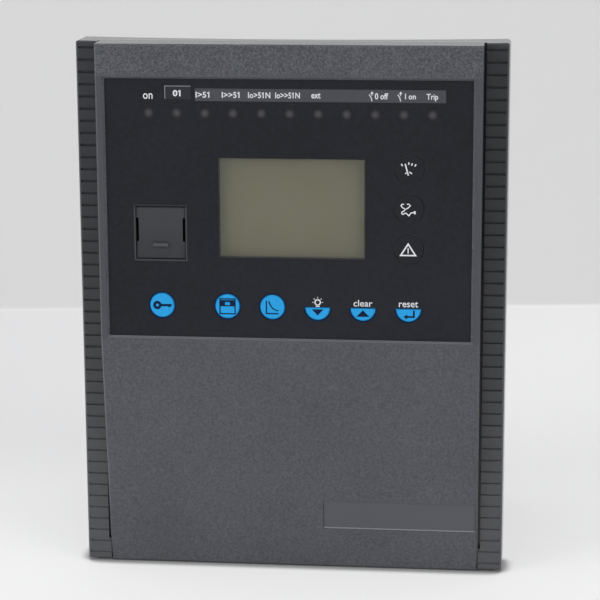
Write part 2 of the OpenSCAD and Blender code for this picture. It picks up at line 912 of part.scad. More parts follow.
// Bar of clear light pipes, one behind each indicator place of the film
module light_guide() {
    span = (lamp_count - 1) * lamp_pitch;
    color("#77787c") {
        at(lamp_x + span / 2, lamp_z) slab(panel_in_y, panel_in_y + guide_t)
            rounded(span + guide_h, guide_h, guide_h / 2 - 0.5);
        lamp_places() rod_y(lamp_d / 2, bed_y, panel_in_y + guide_t);
    }
}

module status_leds() {
    color("#d8d8c8") lamp_places() slab(board_y - chip_t, board_y)
        square([chip_w, chip_w], center = true);
}

module display_window() {
    color("#a8ab9c", 0.4) at(display_x, display_z) slab(film_y, bed_y)
        square([display_w - 2 * seat_fit, display_h - 2 * seat_fit], center = true);
}

module display_frame() {
    fit = 0.1;
    color("#1c1d20") at(display_x, display_z) difference() {
        slab(panel_in_y, board_y)
            rounded(glass_w + 2 * frame_wall, glass_h + 2 * frame_wall, 1.5);
        slab(panel_in_y - cut, board_y) square([display_w, display_h], center = true);
        slab(glass_y, board_y + cut)
            square([glass_w + 2 * fit, glass_h + 2 * fit], center = true);
    }
}

module display_glass() {
    color("#6f6d5d") at(display_x, display_z) slab(glass_y, backlight_y)
        square([glass_w, glass_h], center = true);
}

module display_backlight() {
    color("#dfe3d0") at(display_x, display_z) slab(backlight_y, board_y)
        square([glass_w, glass_h], center = true);
}

// Board behind the film, cut out round the port well
module key_board() {
    well_clear = 0.5;
    color("#2f6b45") difference() {
        slab(board_y, board_back_y) at_film()
            square([film_w - 2 * board_edge, film_h - 2 * board_edge], center = true);
        at(well_x, well_z) slab(board_y - cut, board_back_y + cut)
            square([well_out_w + 2 * well_clear, well_out_h + 2 * well_clear], center = true);
        boss_places() rod_y(screw_r + screw_gap, board_y - cut, board_back_y + cut);
    }
}

module key_domes() {
    color("gold") for (k = all_keys) at(k[0], k[1]) translate([0, board_y, 0])
        rotate([90, 0, 0]) cylinder(r1 = dome_r, r2 = dome_r * 0.6, h = dome_h);
}

module key_board_screws() {
    reach = pcb_t + boss_h - screw_gap;
    color("silver") boss_places() screw(board_back_y + head_t, reach, way = -1);
}

// Hinged cover of the port, with its stub pivots and a ridge to open it by
module port_flap() {
    edge_r = flap_t / 2;
    notch_z0 = pivot_z - flap_notch_drop;
    color("#404348") translate([well_x, 0, 0]) difference() {
        union() {
            translate([0, pivot_y, pivot_z]) rotate([0, 90, 0]) {
                cylinder(r = edge_r, h = flap_w, center = true);
                cylinder(r = pivot_r, h = well_w + 2 * pivot_l, center = true);
            }
            translate([-flap_w / 2, flap_y, flap_bottom_z])
                cube([flap_w, flap_t, pivot_z - flap_bottom_z]);
            translate([-grip_w / 2, flap_y - grip_proud, flap_bottom_z + grip_rise])
                cube([grip_w, grip_proud + flap_t / 2, grip_t]);
        }
        for (side = [-1, 1])
            translate([side * flap_w / 2 - flap_notch_d, flap_y - cut, notch_z0])
                cube([2 * flap_notch_d, flap_t + 2 * cut, flap_notch_h]);
    }
}

// Round socket with a keyed ring and six contact holes
module port_socket() {
    contact_r = 0.5;
    contact_ring = 2.2;
    contact_depth = 4;
    color("#1f2023") at(well_x, well_z) difference() {
        union() {
            rod_y(socket_r, well_back_y, socket_y + cut);
            slab(socket_y, socket_y + socket_l) square([socket_w, socket_w], center = true);
        }
        difference() {
            rod_y(socket_r - socket_ring, well_back_y - cut, socket_y + socket_l / 2);
            rod_y(socket_core_r, well_back_y - 2 * cut, socket_y + socket_l);
        }
        for (a = [30:60:330])
            at(contact_ring * cos(a), contact_ring * sin(a))
                rod_y(contact_r, well_back_y - cut, well_back_y + contact_depth);
    }
}

module port_board() {
    y = socket_y + socket_l;
    color("#2f6b45") at(well_x, well_z) slab(y, y + pcb_t)
        square([port_board_w, port_board_w], center = true);
}

// Rear moulding: flange, four walls, corner posts, vents and clip notches
module housing() {
    color("#4d4f53") difference() {
        union() {
            difference() {
                union() {
                    slab(flange_y, -gasket_t) rounded(flange_w, flange_h, bezel_corner_r / 2);
                    slab(flange_y, body_depth) rounded(body_w, body_h, body_corner_r);
                }
                slab(flange_y - cut, body_depth + cut)
                    square([inner_w, inner_h], center = true);
            }
            corners(post_x, post_z) slab(flange_y, plate_y) square(post, center = true);
        }
        corners(bezel_screw_x, post_z)
            rod_y(screw_r + thread_gap, flange_y - cut, flange_y + screw_l + cut);
        corners(post_x, post_z)
            rod_y(screw_r + thread_gap, plate_y - screw_l - cut, plate_y + cut);
        for (i = [0:vent_count - 1], end = [-1, 1])
            translate([(i - (vent_count - 1) / 2) * vent_pitch - vent_w / 2, vent_y,
                       end * (body_h - body_wall) / 2 - body_wall])
                cube([vent_w, vent_l, 2 * body_wall]);
        for (side = [-1, 1], z = [-notch_z, notch_z])
            translate([side * body_w / 2 - notch_depth, notch_y, z - notch_h / 2])
                cube([2 * notch_depth, notch_w, notch_h]);
    }
}

// Seal between the flange and the mounting panel
module gasket() {
    outer_w = flange_w - 2 * gasket_in;
    outer_h = flange_h - 2 * gasket_in;
    color("#1a1a1c") slab(-gasket_t, 0) difference() {
        rounded(outer_w, outer_h, bezel_corner_r / 2);
        square([outer_w - 2 * gasket_w, outer_h - 2 * gasket_w], center = true);
    }
}

module board_blank(y) {
    color("#2f6b45") difference() {
        slab(y, y + pcb_t) square([board_w, board_h], center = true);
        corners(pillar_x, pillar_z) rod_y(screw_r + screw_gap, y - cut, y + pcb_t + cut);
    }
}

module main_board() { board_blank(main_y); }

module power_board() { board_blank(power_y); }

// Package on the main board's front face
module chip(x, z, w, h, t) {
    at(x, z) slab(main_y - t, main_y) square([w, h], center = true);
}

// Processor, two memories and three drivers
module main_chips() {
    color("#1d1e20") {
        chip(cpu_x, cpu_z, cpu_w, cpu_w, cpu_t);
        for (i = [0, 1])
            chip(memory_x + i * memory_pitch, memory_z, memory_w, memory_h, memory_t);
        for (i = [0:2])
            chip(driver_x, driver_z - i * driver_pitch, driver_w, driver_h, driver_t);
    }
}

module ribbon_headers() {
    color("#17181a") for (y = [board_back_y, ribbon_y1]) at(ribbon_x, ribbon_z)
        slab(y, y + ribbon_header_l)
            square([ribbon_w + 2 * ribbon_header_side, ribbon_header_h], center = true);
}

function ribbon_point(i, off) =
    [ribbon_y0 + (ribbon_y1 - ribbon_y0) * i / ribbon_steps,
     ribbon_z + off + ribbon_sway * (1 - cos(360 * i / ribbon_steps)) / 2];

// Flat cable that bows a little between its two headers
module ribbon_cable() {
    color("#9a9b9e") translate([ribbon_x, 0, 0]) drawn_x(ribbon_w) polygon(concat(
        [for (i = [0:ribbon_steps]) ribbon_point(i, -ribbon_t / 2)],
        [for (i = [ribbon_steps:-1:0]) ribbon_point(i, ribbon_t / 2)]
    ));
}

// Card that carries the signals from the main board to the power board
module riser_board() {
    color("#2f6b45") translate([riser_x, main_back_y, riser_z])
        cube([pcb_t, power_y - main_back_y, riser_h]);
}

module board_pillars() {
    color("#b9a25a") corners(pillar_x, pillar_z) difference() {
        translate([0, main_back_y, 0]) rotate([-90, 0, 0])
            cylinder(r = pillar_r, h = power_y - main_back_y, $fn = 6);
        rod_y(screw_r + thread_gap, main_back_y - cut, main_back_y + screw_l + cut);
        rod_y(screw_r + thread_gap, power_y - screw_l - cut, power_y + cut);
    }
}

module pillar_screws() {
    color("silver") corners(pillar_x, pillar_z) screw(main_y - head_t, pcb_t + screw_l);
}

// Spacers with a stud that passes the power board into the pillars
module board_spacers() {
    color("#b9a25a") corners(pillar_x, pillar_z) difference() {
        union() {
            translate([0, power_back_y, 0]) rotate([-90, 0, 0])
                cylinder(r = pillar_r, h = spacer_l, $fn = 6);
            rod_y(screw_r, power_y - screw_l, power_back_y + cut);
        }
        rod_y(screw_r + thread_gap, plate_y - screw_l - cut, plate_y + cut);
    }
}

module spacer_screws() {
    color("silver") corners(pillar_x, pillar_z)
        screw(body_depth + head_t, plate_t + screw_l, way = -1);
}

module transformer_core() {
    color("#5d5e62") at(core_x, core_z) difference() {
        slab(power_y - coil_end - core_t, power_y - coil_end)
            square([core_w, core_h], center = true);
        for (side = [-1, 1]) at(side * (core_leg + core_window) / 2, 0)
            slab(power_y - core_t - 2 * coil_end, power_y)
                square([core_window, core_h - core_leg], center = true);
    }
}

// Winding round the core's middle leg
module transformer_coil() {
    y = core_t / 2 + coil_end;
    color("#b06a35") translate([core_x, power_y - y, core_z])
        linear_extrude(core_h - core_leg - 2 * coil_fit, center = true) difference() {
            square([core_leg + 2 * (core_window - coil_fit), 2 * y], center = true);
            square([core_leg + 2 * coil_fit, core_t + 2 * coil_fit], center = true);
        }
}

module capacitors() {
    color("#25303f") for (i = [0, 1]) at(can_x + i * can_pitch, can_z) difference() {
        rod_y(can_r, power_y - can_l, power_y);
        translate([0, power_y - can_foot, 0]) rotate([-90, 0, 0]) rotate_extrude()
            translate([can_r, 0]) circle(r = can_groove);
    }
}

module output_relays() {
    color("#d9d9d2") for (i = [0:3]) at(relay_x + i * relay_pitch, relay_z)
        slab(power_y - relay_l, power_y) rounded(relay_w, relay_h, 0.8);
}

module current_sensors() {
    color("#2a4a7a") for (i = [-1:1]) at(block_x + i * sensor_pitch, block_z) difference() {
        rod_y(sensor_r, power_y - sensor_t, power_y);
        rod_y(sensor_bore, power_y - sensor_t - cut, power_y + cut);
    }
}

// Folded plate that closes the housing and carries the terminals
module rear_plate() {
    gap = 0.4;
    color("#a9abad") difference() {
        slab(plate_y, body_depth)
            square([inner_w - 2 * plate_gap, inner_h - 2 * plate_gap], center = true);
        slab(plate_y - cut, body_depth + cut) {
            translate([header_x, header_z])
                square([header_w + 2 * gap, header_l + 2 * gap], center = true);
            translate([block_x, block_z])
                square([block_neck_w + 2 * gap, block_neck_h + 2 * gap], center = true);
            for (x = [comm_x, link_x]) translate([x, jack_z])
                square([jack_body_w + 2 * gap, jack_body_h + 2 * gap], center = true);
        }
        corners(post_x, post_z) rod_y(screw_r + screw_gap, plate_y - cut, body_depth + cut);
        corners(pillar_x, pillar_z)
            rod_y(screw_r + screw_gap, plate_y - cut, body_depth + cut);
        block_screw_places() rod_y(screw_r + screw_gap, plate_y - cut, body_depth + cut);
        at(earth_x, earth_z) rod_y(earth_r + screw_gap, plate_y - cut, body_depth + cut);
    }
}

module rear_screws() {
    color("silver") corners(post_x, post_z)
        screw(body_depth + head_t, plate_t + screw_l, way = -1);
}

module way_places() {
    for (i = [0:way_count - 1])
        at(header_x, header_z + (i - (way_count - 1) / 2) * way_pitch) children();
}

// Open shroud on the power board that the terminal plug goes into
module power_header() {
    color("#2b2c2f") at(header_x, header_z) difference() {
        slab(power_back_y, header_end_y) square([header_w, header_l], center = true);
        slab(header_base_y, header_end_y + cut)
            square([plug_w + 2 * plug_fit, plug_l + 2 * plug_fit], center = true);
    }
}

module header_pins() {
    color("gold") way_places() slab(header_base_y, header_base_y + pin_l)
        square(pin_w, center = true);
}

// Screw terminal plug: pin sockets in front, wire and screw holes behind
module terminal_plug() {
    flare_w = plug_w + 2 * plug_flare;
    color("#3c3d40") difference() {
        at(header_x, header_z) {
            slab(header_base_y, header_end_y + cut)
                square([plug_w, plug_l], center = true);
            slab(header_end_y, plug_end_y) rounded(flare_w, plug_l, 0.6);
        }
        way_places() {
            slab(header_base_y - cut, header_base_y + pin_l + pin_fit)
                square(pin_w + 2 * pin_fit, center = true);
            at(wire_x, 0) slab(plug_end_y - wire_depth, plug_end_y + cut)
                square(wire_hole, center = true);
            at(way_screw_x, 0)
                rod_y(way_screw_r + way_screw_fit, plug_end_y - way_screw_sink,
                      plug_end_y + cut);
        }
    }
}

module plug_screws() {
    y0 = plug_end_y - way_screw_sink;
    color("silver") way_places() at(way_screw_x, 0) difference() {
        rod_y(way_screw_r, y0, y0 + way_screw_l);
        translate([-way_screw_r - cut, y0 + way_screw_l - driver_slot, -driver_slot / 2])
            cube([2 * (way_screw_r + cut), driver_slot + cut, driver_slot]);
    }
}

module bay_places() {
    for (i = [0:bay_count - 1])
        at(block_x + (i - (bay_count - 1) / 2) * (bay_w + barrier), 0) children();
}

module block_screw_places() {
    for (side = [-1, 1]) at(block_x + side * block_screw_x, block_screw_z) children();
}

// Current terminal block: bays for ring lugs between upright barriers
module current_block() {
    bay_h = block_h - block_band;
    color("#34363a") difference() {
        union() {
            at(block_x, block_z) {
                slab(body_depth, plug_end_y) rounded(block_w, block_h, 1);
                slab(body_depth - block_neck_l, body_depth + cut)
                    square([block_neck_w, block_neck_h], center = true);
            }
        }
        bay_places() {
            translate([-bay_w / 2, bay_floor_y, block_z - block_h / 2 - cut])
                cube([bay_w, terminal_proud, bay_h + cut]);
            at(0, bay_screw_z)
                rod_y(bay_screw_r + thread_gap, body_depth - block_neck_l / 2, bay_floor_y + cut);
        }
        block_screw_places() {
            rod_y(screw_r + screw_gap, body_depth - cut, plug_end_y);
            rod_y(head_r + screw_gap, plug_end_y - block_screw_sink, plug_end_y + cut);
        }
    }
}

module current_screws() {
    head_y = bay_floor_y + bay_washer_t;
    color("silver") bay_places() at(0, bay_screw_z) {
        rod_y(bay_washer_r, bay_floor_y, head_y);
        screw(head_y + bay_head_t, bay_washer_t + block_floor, r = bay_screw_r,
              head = bay_head_r, head_h = bay_head_t, way = -1);
    }
}

module block_screws() {
    y = plug_end_y - block_screw_sink + head_t;
    nut_reach = 2;
    color("silver") block_screw_places()
        screw(y, y - head_t - plate_y + nut_reach, way = -1);
}

// Modular socket with a latch slot above its mouth
module modular_socket(x, tint) {
    low = -jack_body_h / 2 + jack_wall;
    color(tint) at(x, jack_z) difference() {
        slab(power_back_y, jack_end_y) square([jack_body_w, jack_body_h], center = true);
        translate([-jack_w / 2, jack_end_y - jack_depth, low])
            cube([jack_w, jack_depth + cut, jack_h]);
        translate([-jack_latch_w / 2, jack_end_y - jack_depth, low])
            cube([jack_latch_w, jack_depth + cut, jack_h + jack_latch_h]);
    }
}

module comm_socket() { modular_socket(comm_x, "#3b6f4c"); }

module link_socket() { modular_socket(link_x, "#222326"); }

module earth_screw() {
    y = body_depth + earth_washer_t + earth_head_t;
    color("silver") at(earth_x, earth_z)
        screw(y, earth_washer_t + earth_l, r = earth_r, head = earth_head_r,
              head_h = earth_head_t, way = -1);
}

module earth_washer() {
    color("#c9b26a") at(earth_x, earth_z) difference() {
        rod_y(earth_washer_r, body_depth, body_depth + earth_washer_t);
        rod_y(earth_r + screw_gap, body_depth - cut, body_depth + earth_washer_t + cut);
    }
}

bezel_frame();
front_panel();
badge_plate();
overlay();
led_label();
marker_sticker();
key_meter();
key_diagnosis();
key_alarm();
key_password();
key_parameters();
key_curves();
key_down();
key_up();
key_enter();
light_guide();
status_leds();
display_window();
display_frame();
display_glass();
display_backlight();
key_board();
key_domes();
key_board_screws();
port_flap();
port_socket();
port_board();
housing();
gasket();
bezel_screws();
main_board();
main_chips();
ribbon_headers();
ribbon_cable();
riser_board();
board_pillars();
pillar_screws();
power_board();
transformer_core();
transformer_coil();
capacitors();
output_relays();
current_sensors();
board_spacers();
spacer_screws();
rear_plate();
rear_screws();
power_header();
header_pins();
terminal_plug();
plug_screws();
current_block();
current_screws();
block_screws();
comm_socket();
link_socket();
earth_screw();
earth_washer();
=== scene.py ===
"""Looks of a flush-mounted protection relay: finishes, prints, contacts and a pale studio."""

import math

import bmesh
import bpy
from bpy.props import FloatProperty, FloatVectorProperty, IntProperty, PointerProperty
from mathutils import Matrix, Vector


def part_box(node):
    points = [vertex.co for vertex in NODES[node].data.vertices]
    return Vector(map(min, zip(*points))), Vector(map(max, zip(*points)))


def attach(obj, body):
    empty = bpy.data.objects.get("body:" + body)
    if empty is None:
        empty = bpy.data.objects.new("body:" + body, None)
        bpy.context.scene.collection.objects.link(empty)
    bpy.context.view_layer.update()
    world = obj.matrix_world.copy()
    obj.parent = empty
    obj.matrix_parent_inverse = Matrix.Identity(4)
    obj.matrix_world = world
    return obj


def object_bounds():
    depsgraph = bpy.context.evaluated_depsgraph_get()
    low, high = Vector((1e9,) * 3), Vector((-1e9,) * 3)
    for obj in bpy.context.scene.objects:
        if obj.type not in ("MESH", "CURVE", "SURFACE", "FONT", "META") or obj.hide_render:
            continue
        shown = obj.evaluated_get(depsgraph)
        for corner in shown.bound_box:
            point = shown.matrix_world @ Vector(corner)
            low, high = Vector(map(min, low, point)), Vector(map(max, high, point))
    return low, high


bl_info = {
    "name": "Protection Relay Looks",
    "version": (1, 0, 0),
    "blender": (4, 5, 0),
    "location": "View3D > Sidebar > Relay",
    "description": "Finishes, prints, contacts and studio of a flush-mounted protection relay",
    "category": "Object",
}

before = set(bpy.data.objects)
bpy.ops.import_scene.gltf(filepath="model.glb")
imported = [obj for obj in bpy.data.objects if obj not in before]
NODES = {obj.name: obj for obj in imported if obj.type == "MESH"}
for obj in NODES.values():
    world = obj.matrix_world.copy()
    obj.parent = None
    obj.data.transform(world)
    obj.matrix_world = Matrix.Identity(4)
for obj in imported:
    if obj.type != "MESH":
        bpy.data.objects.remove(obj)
CAD_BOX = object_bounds()
MM = 0.001
ROOT_BODY = "relay"


def middle(node):
    """Centre of a CAD node's box."""
    low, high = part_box(node)
    return (low + high) / 2


def srgb(red, green, blue):
    """Linear colour of an sRGB one given in steps of 255."""
    def linear(step):
        value = step / 255
        return value / 12.92 if value <= 0.04045 else ((value + 0.055) / 1.055) ** 2.4
    return tuple(linear(step) for step in (red, green, blue))


# Places that the prints and masks take from the CAD frame
FILM_LOW, FILM_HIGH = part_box("overlay")
FILM_Y = FILM_LOW.y
FLAP_LOW, FLAP_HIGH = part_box("port_flap")
BEZEL_LOW, BEZEL_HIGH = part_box("bezel_frame")
CARD_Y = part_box("led_label")[0].y
STICKER_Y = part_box("marker_sticker")[0].y
LAMP_COUNT = 11
LAMP_LOW, LAMP_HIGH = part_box("status_leds")
LAMP_HALF = (LAMP_HIGH.z - LAMP_LOW.z) / 2
LAMP_X = LAMP_LOW.x + LAMP_HALF
LAMP_PITCH = (LAMP_HIGH.x - LAMP_LOW.x - 2 * LAMP_HALF) / (LAMP_COUNT - 1)
LAMP_Z = middle("status_leds").z

# Reach of the masks in the finishes
LIP_REACH = 1.1 * MM
LIP_TOP = 0.3 * MM
FILM_BEVEL = 0.9 * MM
BADGE_EDGE = 0.6 * MM
GRIP_DEPTH = 0.5 * MM
MARGIN_FADE = 3 * MM
GROOVE_LIGHT_DEPTH = 0.15 * MM
GROOVE_LIGHT_LIFT = 0.3 * MM
GROOVE_LIGHT_FULL = 0.8
SEAM_REACH = 3.2 * MM
GROOVE_LAND = 1 * MM
LAMP_CORE = 0.2 * MM
LAMP_RADIUS = 2.4 * MM
KEY_RADIUS = 4.9 * MM
DARK_RADIUS = 6 * MM

# Grain of the mouldings: noise scales in waves per metre, shares, levels and sheen
CLOUD = 22
SPECK_SHARE = 0.75
GRAIN_LEVELS = (0.25, 0.75)
GRAIN_HEIGHT = 0.12 * MM
GLOSS_SWING = 0.08
SHEEN_POWER = 1.5
SHEEN_ROUGH = 0.25
# Painted highlights and shade of the grain over the film: its scale, share and levels
TOP_GRAIN = 1600
GRAIN_LIGHT_SHARE = 0.6
GRAIN_HIGHLIGHT_LEVELS = (0.52, 0.62)
GRAIN_SHADE_LEVELS = (0.38, 0.48)

# Texture of the film and the dark keys
FILM_GRAIN = 2600
FILM_MOTTLE = 650
FILM_CLOUD = 18
FILM_LEVELS = (0.3, 0.7)
FILM_HEIGHT = 0.05 * MM
FILM_ROUGH = 0.58
FILM_GLOSS = 0.12

# Keys by their look, and the bodies that they ride on
ROUND_KEYS = ("key_password", "key_parameters", "key_curves")
HALF_KEYS = ("key_down", "key_up", "key_enter")
DARK_KEYS = ("key_meter", "key_diagnosis", "key_alarm")
BODY_OF_KEY = {"key_" + name: name + "_key" for name in (
    "meter", "diagnosis", "alarm", "password", "parameters", "curves", "down", "up", "enter")}


class RelayColours(bpy.types.PropertyGroup):
    """Colours that a user would change."""

    panel: FloatVectorProperty(
        name="Panel", description="Raised front panel", subtype="COLOR", size=3,
        min=0, max=1, default=srgb(84, 86, 91))
    bezel: FloatVectorProperty(
        name="Bezel", description="Bezel with the ribbed strips", subtype="COLOR", size=3,
        min=0, max=1, default=srgb(62, 63, 67))
    housing: FloatVectorProperty(
        name="Housing", description="Housing behind the mounting panel", subtype="COLOR",
        size=3, min=0, max=1, default=srgb(78, 80, 84))
    film: FloatVectorProperty(
        name="Film", description="Overlay film and dark keys", subtype="COLOR", size=3,
        min=0, max=1, default=srgb(40, 41, 46))
    blue: FloatVectorProperty(
        name="Blue", description="Blue keys", subtype="COLOR", size=3,
        min=0, max=1, default=srgb(38, 158, 224))
    navy: FloatVectorProperty(
        name="Navy", description="Print on and round the blue keys", subtype="COLOR",
        size=3, min=0, max=1, default=srgb(8, 30, 62))
    white: FloatVectorProperty(
        name="White", description="White print", subtype="COLOR", size=3,
        min=0, max=1, default=srgb(222, 224, 228))
    display: FloatVectorProperty(
        name="Display", description="Display behind its window", subtype="COLOR", size=3,
        min=0, max=1, default=srgb(102, 100, 79))
    floor: FloatVectorProperty(
        name="Floor", description="Studio floor", subtype="COLOR", size=3,
        min=0, max=1, default=srgb(244, 244, 245))
    wall: FloatVectorProperty(
        name="Wall", description="Studio wall", subtype="COLOR", size=3,
        min=0, max=1, default=srgb(214, 214, 215))


class RelaySizes(bpy.types.PropertyGroup):
    """Sizes and light levels that a user would change."""

    ink: FloatProperty(
        name="Ink", description="Thickness of the prints", unit="LENGTH",
        min=0.00001, max=0.0002, default=0.03 * MM)
    ring: FloatProperty(
        name="Key ring", description="Width of the navy ring round a blue key",
        unit="LENGTH", min=0, max=0.002, default=0.8 * MM)
    contact_pitch: FloatProperty(
        name="Contact pitch", description="Spacing of a modular socket's contacts",
        unit="LENGTH", min=0.0005, max=0.002, default=1.02 * MM)
    contact_count: IntProperty(
        name="Contacts", description="Contacts in a modular socket", min=2, max=8, default=8)
    way_pitch: FloatProperty(
        name="Way pitch", description="Spacing of the screw terminals", unit="LENGTH",
        min=0.003, max=0.008, default=5.08 * MM)
    way_count: IntProperty(
        name="Ways", description="Number of screw terminals", min=2, max=20, default=20)
    sky: FloatProperty(
        name="Sky", description="Strength of the even light", min=0, max=2, default=0.14)
    top_light: FloatProperty(
        name="Top light", description="Power of the light overhead", unit="POWER",
        min=0, max=400, default=17)
    left_light: FloatProperty(
        name="Left light", description="Power of the light at the left", unit="POWER",
        min=0, max=400, default=90)
    right_light: FloatProperty(
        name="Right light", description="Power of the light at the right", unit="POWER",
        min=0, max=400, default=55)


class Wire:
    """A value socket of a finish. Arithmetic on it adds Math nodes."""

    def __init__(self, finish, socket):
        self.finish = finish
        self.socket = socket

    def math(self, operation, *values):
        node = self.finish.add("ShaderNodeMath", {"operation": operation},
                               dict(enumerate(values)))
        return Wire(self.finish, node.outputs[0])

    def __add__(self, other):
        return self.math("ADD", self, other)

    __radd__ = __add__

    def __sub__(self, other):
        return self.math("SUBTRACT", self, other)

    def __rsub__(self, other):
        return self.math("SUBTRACT", other, self)

    def __mul__(self, other):
        return self.math("MULTIPLY", self, other)

    __rmul__ = __mul__

    def __truediv__(self, other):
        return self.math("DIVIDE", self, other)

    def __rtruediv__(self, other):
        return self.math("DIVIDE", other, self)

    def __mod__(self, other):
        return self.math("FLOORED_MODULO", self, other)

    def __pow__(self, other):
        return self.math("POWER", self, other)

    def __abs__(self):
        return self.math("ABSOLUTE", self)

    def __lt__(self, other):
        return self.math("LESS_THAN", self, other)

    def __gt__(self, other):
        return self.math("GREATER_THAN", self, other)

    def most(self, other):
        return self.math("MAXIMUM", self, other)


class NodeMaker:
    """Adds nodes to a tree and feeds their sockets."""

    def __init__(self, tree):
        self.tree = tree

    def feed(self, socket, value):
        """Links a socket, or sets its value; a colour of three gets its alpha."""
        if isinstance(value, Wire):
            value = value.socket
        if isinstance(value, bpy.types.NodeSocket):
            self.tree.links.new(value, socket)
        elif socket.type == "RGBA" and len(value) == 3:
            socket.default_value = (*value, 1)
        else:
            socket.default_value = value

    def add(self, kind, settings=None, sockets=None):
        """Any node: its type, its settings, and the values or links of its sockets."""
        node = self.tree.nodes.new(kind)
        for key, value in (settings or {}).items():
            setattr(node, key, value)
        for key, value in (sockets or {}).items():
            self.feed(node.inputs[key], value)
        return node


class Finish(NodeMaker):
    """A material under construction: one shader and the nodes that feed it."""

    def __init__(self, name):
        self.material = bpy.data.materials.new(name)
        self.material.use_nodes = True
        super().__init__(self.material.node_tree)
        self.shader = self.tree.nodes["Principled BSDF"]
        self.source = self.add("ShaderNodeTexCoord").outputs["Object"]

    def place(self):
        """Object coordinates as three wires."""
        split = self.add("ShaderNodeSeparateXYZ", None, {0: self.source})
        return [Wire(self, output) for output in split.outputs]

    def noise(self, scale, detail=2.0, stretch=None):
        """Noise from 0 to 1 on Object coordinates, stretched along an axis if asked."""
        vector = self.source
        if stretch:
            vector = self.add("ShaderNodeMapping", None,
                              {"Vector": vector, "Scale": stretch}).outputs[0]
        node = self.add("ShaderNodeTexNoise", None,
                        {"Vector": vector, "Scale": scale, "Detail": detail})
        return Wire(self, node.outputs[0])

    def ease(self, value, start, end):
        """Smooth step from 0 at start to 1 at end."""
        node = self.add("ShaderNodeMapRange", {"interpolation_type": "SMOOTHSTEP"},
                        {"Value": value, "From Min": start, "From Max": end})
        return Wire(self, node.outputs[0])

    def mix(self, factor, first, second):
        """Colour between two colours."""
        node = self.add("ShaderNodeMix", {"data_type": "RGBA"},
                        {0: factor, 6: first, 7: second})
        return node.outputs[2]

    def bump(self, height, strength, distance):
        """Surface relief, fed to the shader's normal."""
        node = self.add("ShaderNodeBump", None,
                        {"Strength": strength, "Distance": distance, "Height": height})
        self.feed(self.shader.inputs["Normal"], node.outputs[0])

    def surface(self, **sockets):
        """Values or links of the shader's own sockets, with _ for a space."""
        for key, value in sockets.items():
            self.feed(self.shader.inputs[key.replace("_", " ")], value)
        return self.material


def scaled(colour, factor):
    """A colour made darker or lighter."""
    return tuple(min(1.0, channel * factor) for channel in colour)


def length(across, up):
    """Wire of the length of a run across and up."""
    return (across * across + up * up) ** 0.5


def grained(name, colour, grain, spread, rough, relief, insets=(), gloss=0.2):
    """Moulded plastic: a fine speckle, a broad unevenness, a matt grain and a sheen at
    grazing angles. An inset is another colour and the mask where it shows."""
    finish = Finish(name)
    speck = finish.noise(grain, 3.0)
    cloud = finish.noise(CLOUD, 3.0)
    level = finish.ease(speck * SPECK_SHARE + cloud * (1 - SPECK_SHARE), *GRAIN_LEVELS)
    tone = finish.mix(level, scaled(colour, 1 - spread), scaled(colour, 1 + spread))
    for other, mask in insets:
        tone = finish.mix(mask(finish), tone, other)
    facing = Wire(finish, finish.add("ShaderNodeLayerWeight").outputs["Facing"])
    finish.bump(speck, relief, GRAIN_HEIGHT)
    return finish.surface(
        Base_Color=tone,
        Roughness=rough - GLOSS_SWING * level,
        Specular_IOR_Level=gloss,
        Coat_Weight=facing ** SHEEN_POWER,
        Coat_Roughness=SHEEN_ROUGH)


def lip_shade_mask(finish):
    """1 on the lip of the port well, which shows inside the film; painted darker than the panel,
    as shade in its recess.
    """
    x, y, z = finish.place()
    half = (FLAP_HIGH - FLAP_LOW) / 2
    centre = (FLAP_HIGH + FLAP_LOW) / 2
    lip = (abs(x - centre.x) < half.x + LIP_REACH) * (abs(z - centre.z) < half.z + LIP_REACH)
    return lip * (y > FILM_Y - LIP_REACH)


def lip_top_shade_mask(finish):
    """1 on the upper side of the well's lip, painted darker still, as shade where it faces down.
    """
    return lip_shade_mask(finish) * (finish.place()[2] > FLAP_HIGH.z - LIP_TOP)


def seat_light_mask(finish):
    """1 on the lower side of the film's bevelled seat, which catches the light."""
    x, _, z = finish.place()
    across = (x > FILM_LOW.x - FILM_BEVEL) * (x < FILM_HIGH.x + FILM_BEVEL)
    return across * (z < FILM_LOW.z) * (z > FILM_LOW.z - FILM_BEVEL)


def flap_top_light_mask(finish):
    """Grows to 1 towards the flap's upper edge, where painted light makes it lighter."""
    return finish.ease(finish.place()[2], FLAP_LOW.z, FLAP_HIGH.z)


def grip_highlight_mask(finish):
    """1 on the front of the flap's grip ridge, painted lighter as a highlight."""
    return finish.place()[1] < FLAP_LOW.y + GRIP_DEPTH


def margin_shade_mask(finish):
    """1 on the panel's margins to the left and right of the film, painted darker as shade."""
    x, _, z = finish.place()
    beside = (x < FILM_LOW.x - FILM_BEVEL).most(x > FILM_HIGH.x + FILM_BEVEL)
    inside = finish.ease(z, FILM_LOW.z - MARGIN_FADE, FILM_LOW.z)
    return beside * inside * (1 - finish.ease(z, FILM_HIGH.z, FILM_HIGH.z + MARGIN_FADE))


def grain_light_band(finish):
    """Wires of the grain on the panel and of the band over the film where its painted highlights
    and shade show, as light grazing from above.
    """
    band = finish.ease(finish.place()[2], FILM_HIGH.z, FILM_HIGH.z + MARGIN_FADE)
    return finish.noise(TOP_GRAIN, 3.0), band * GRAIN_LIGHT_SHARE


def grain_highlight_mask(finish):
    """Painted highlights on the grain in the band over the film."""
    grain, band = grain_light_band(finish)
    return finish.ease(grain, *GRAIN_HIGHLIGHT_LEVELS) * band


def grain_shade_mask(finish):
    """Painted shade in the grain in the band over the film."""
    grain, band = grain_light_band(finish)
    return (1 - finish.ease(grain, *GRAIN_SHADE_LEVELS)) * band


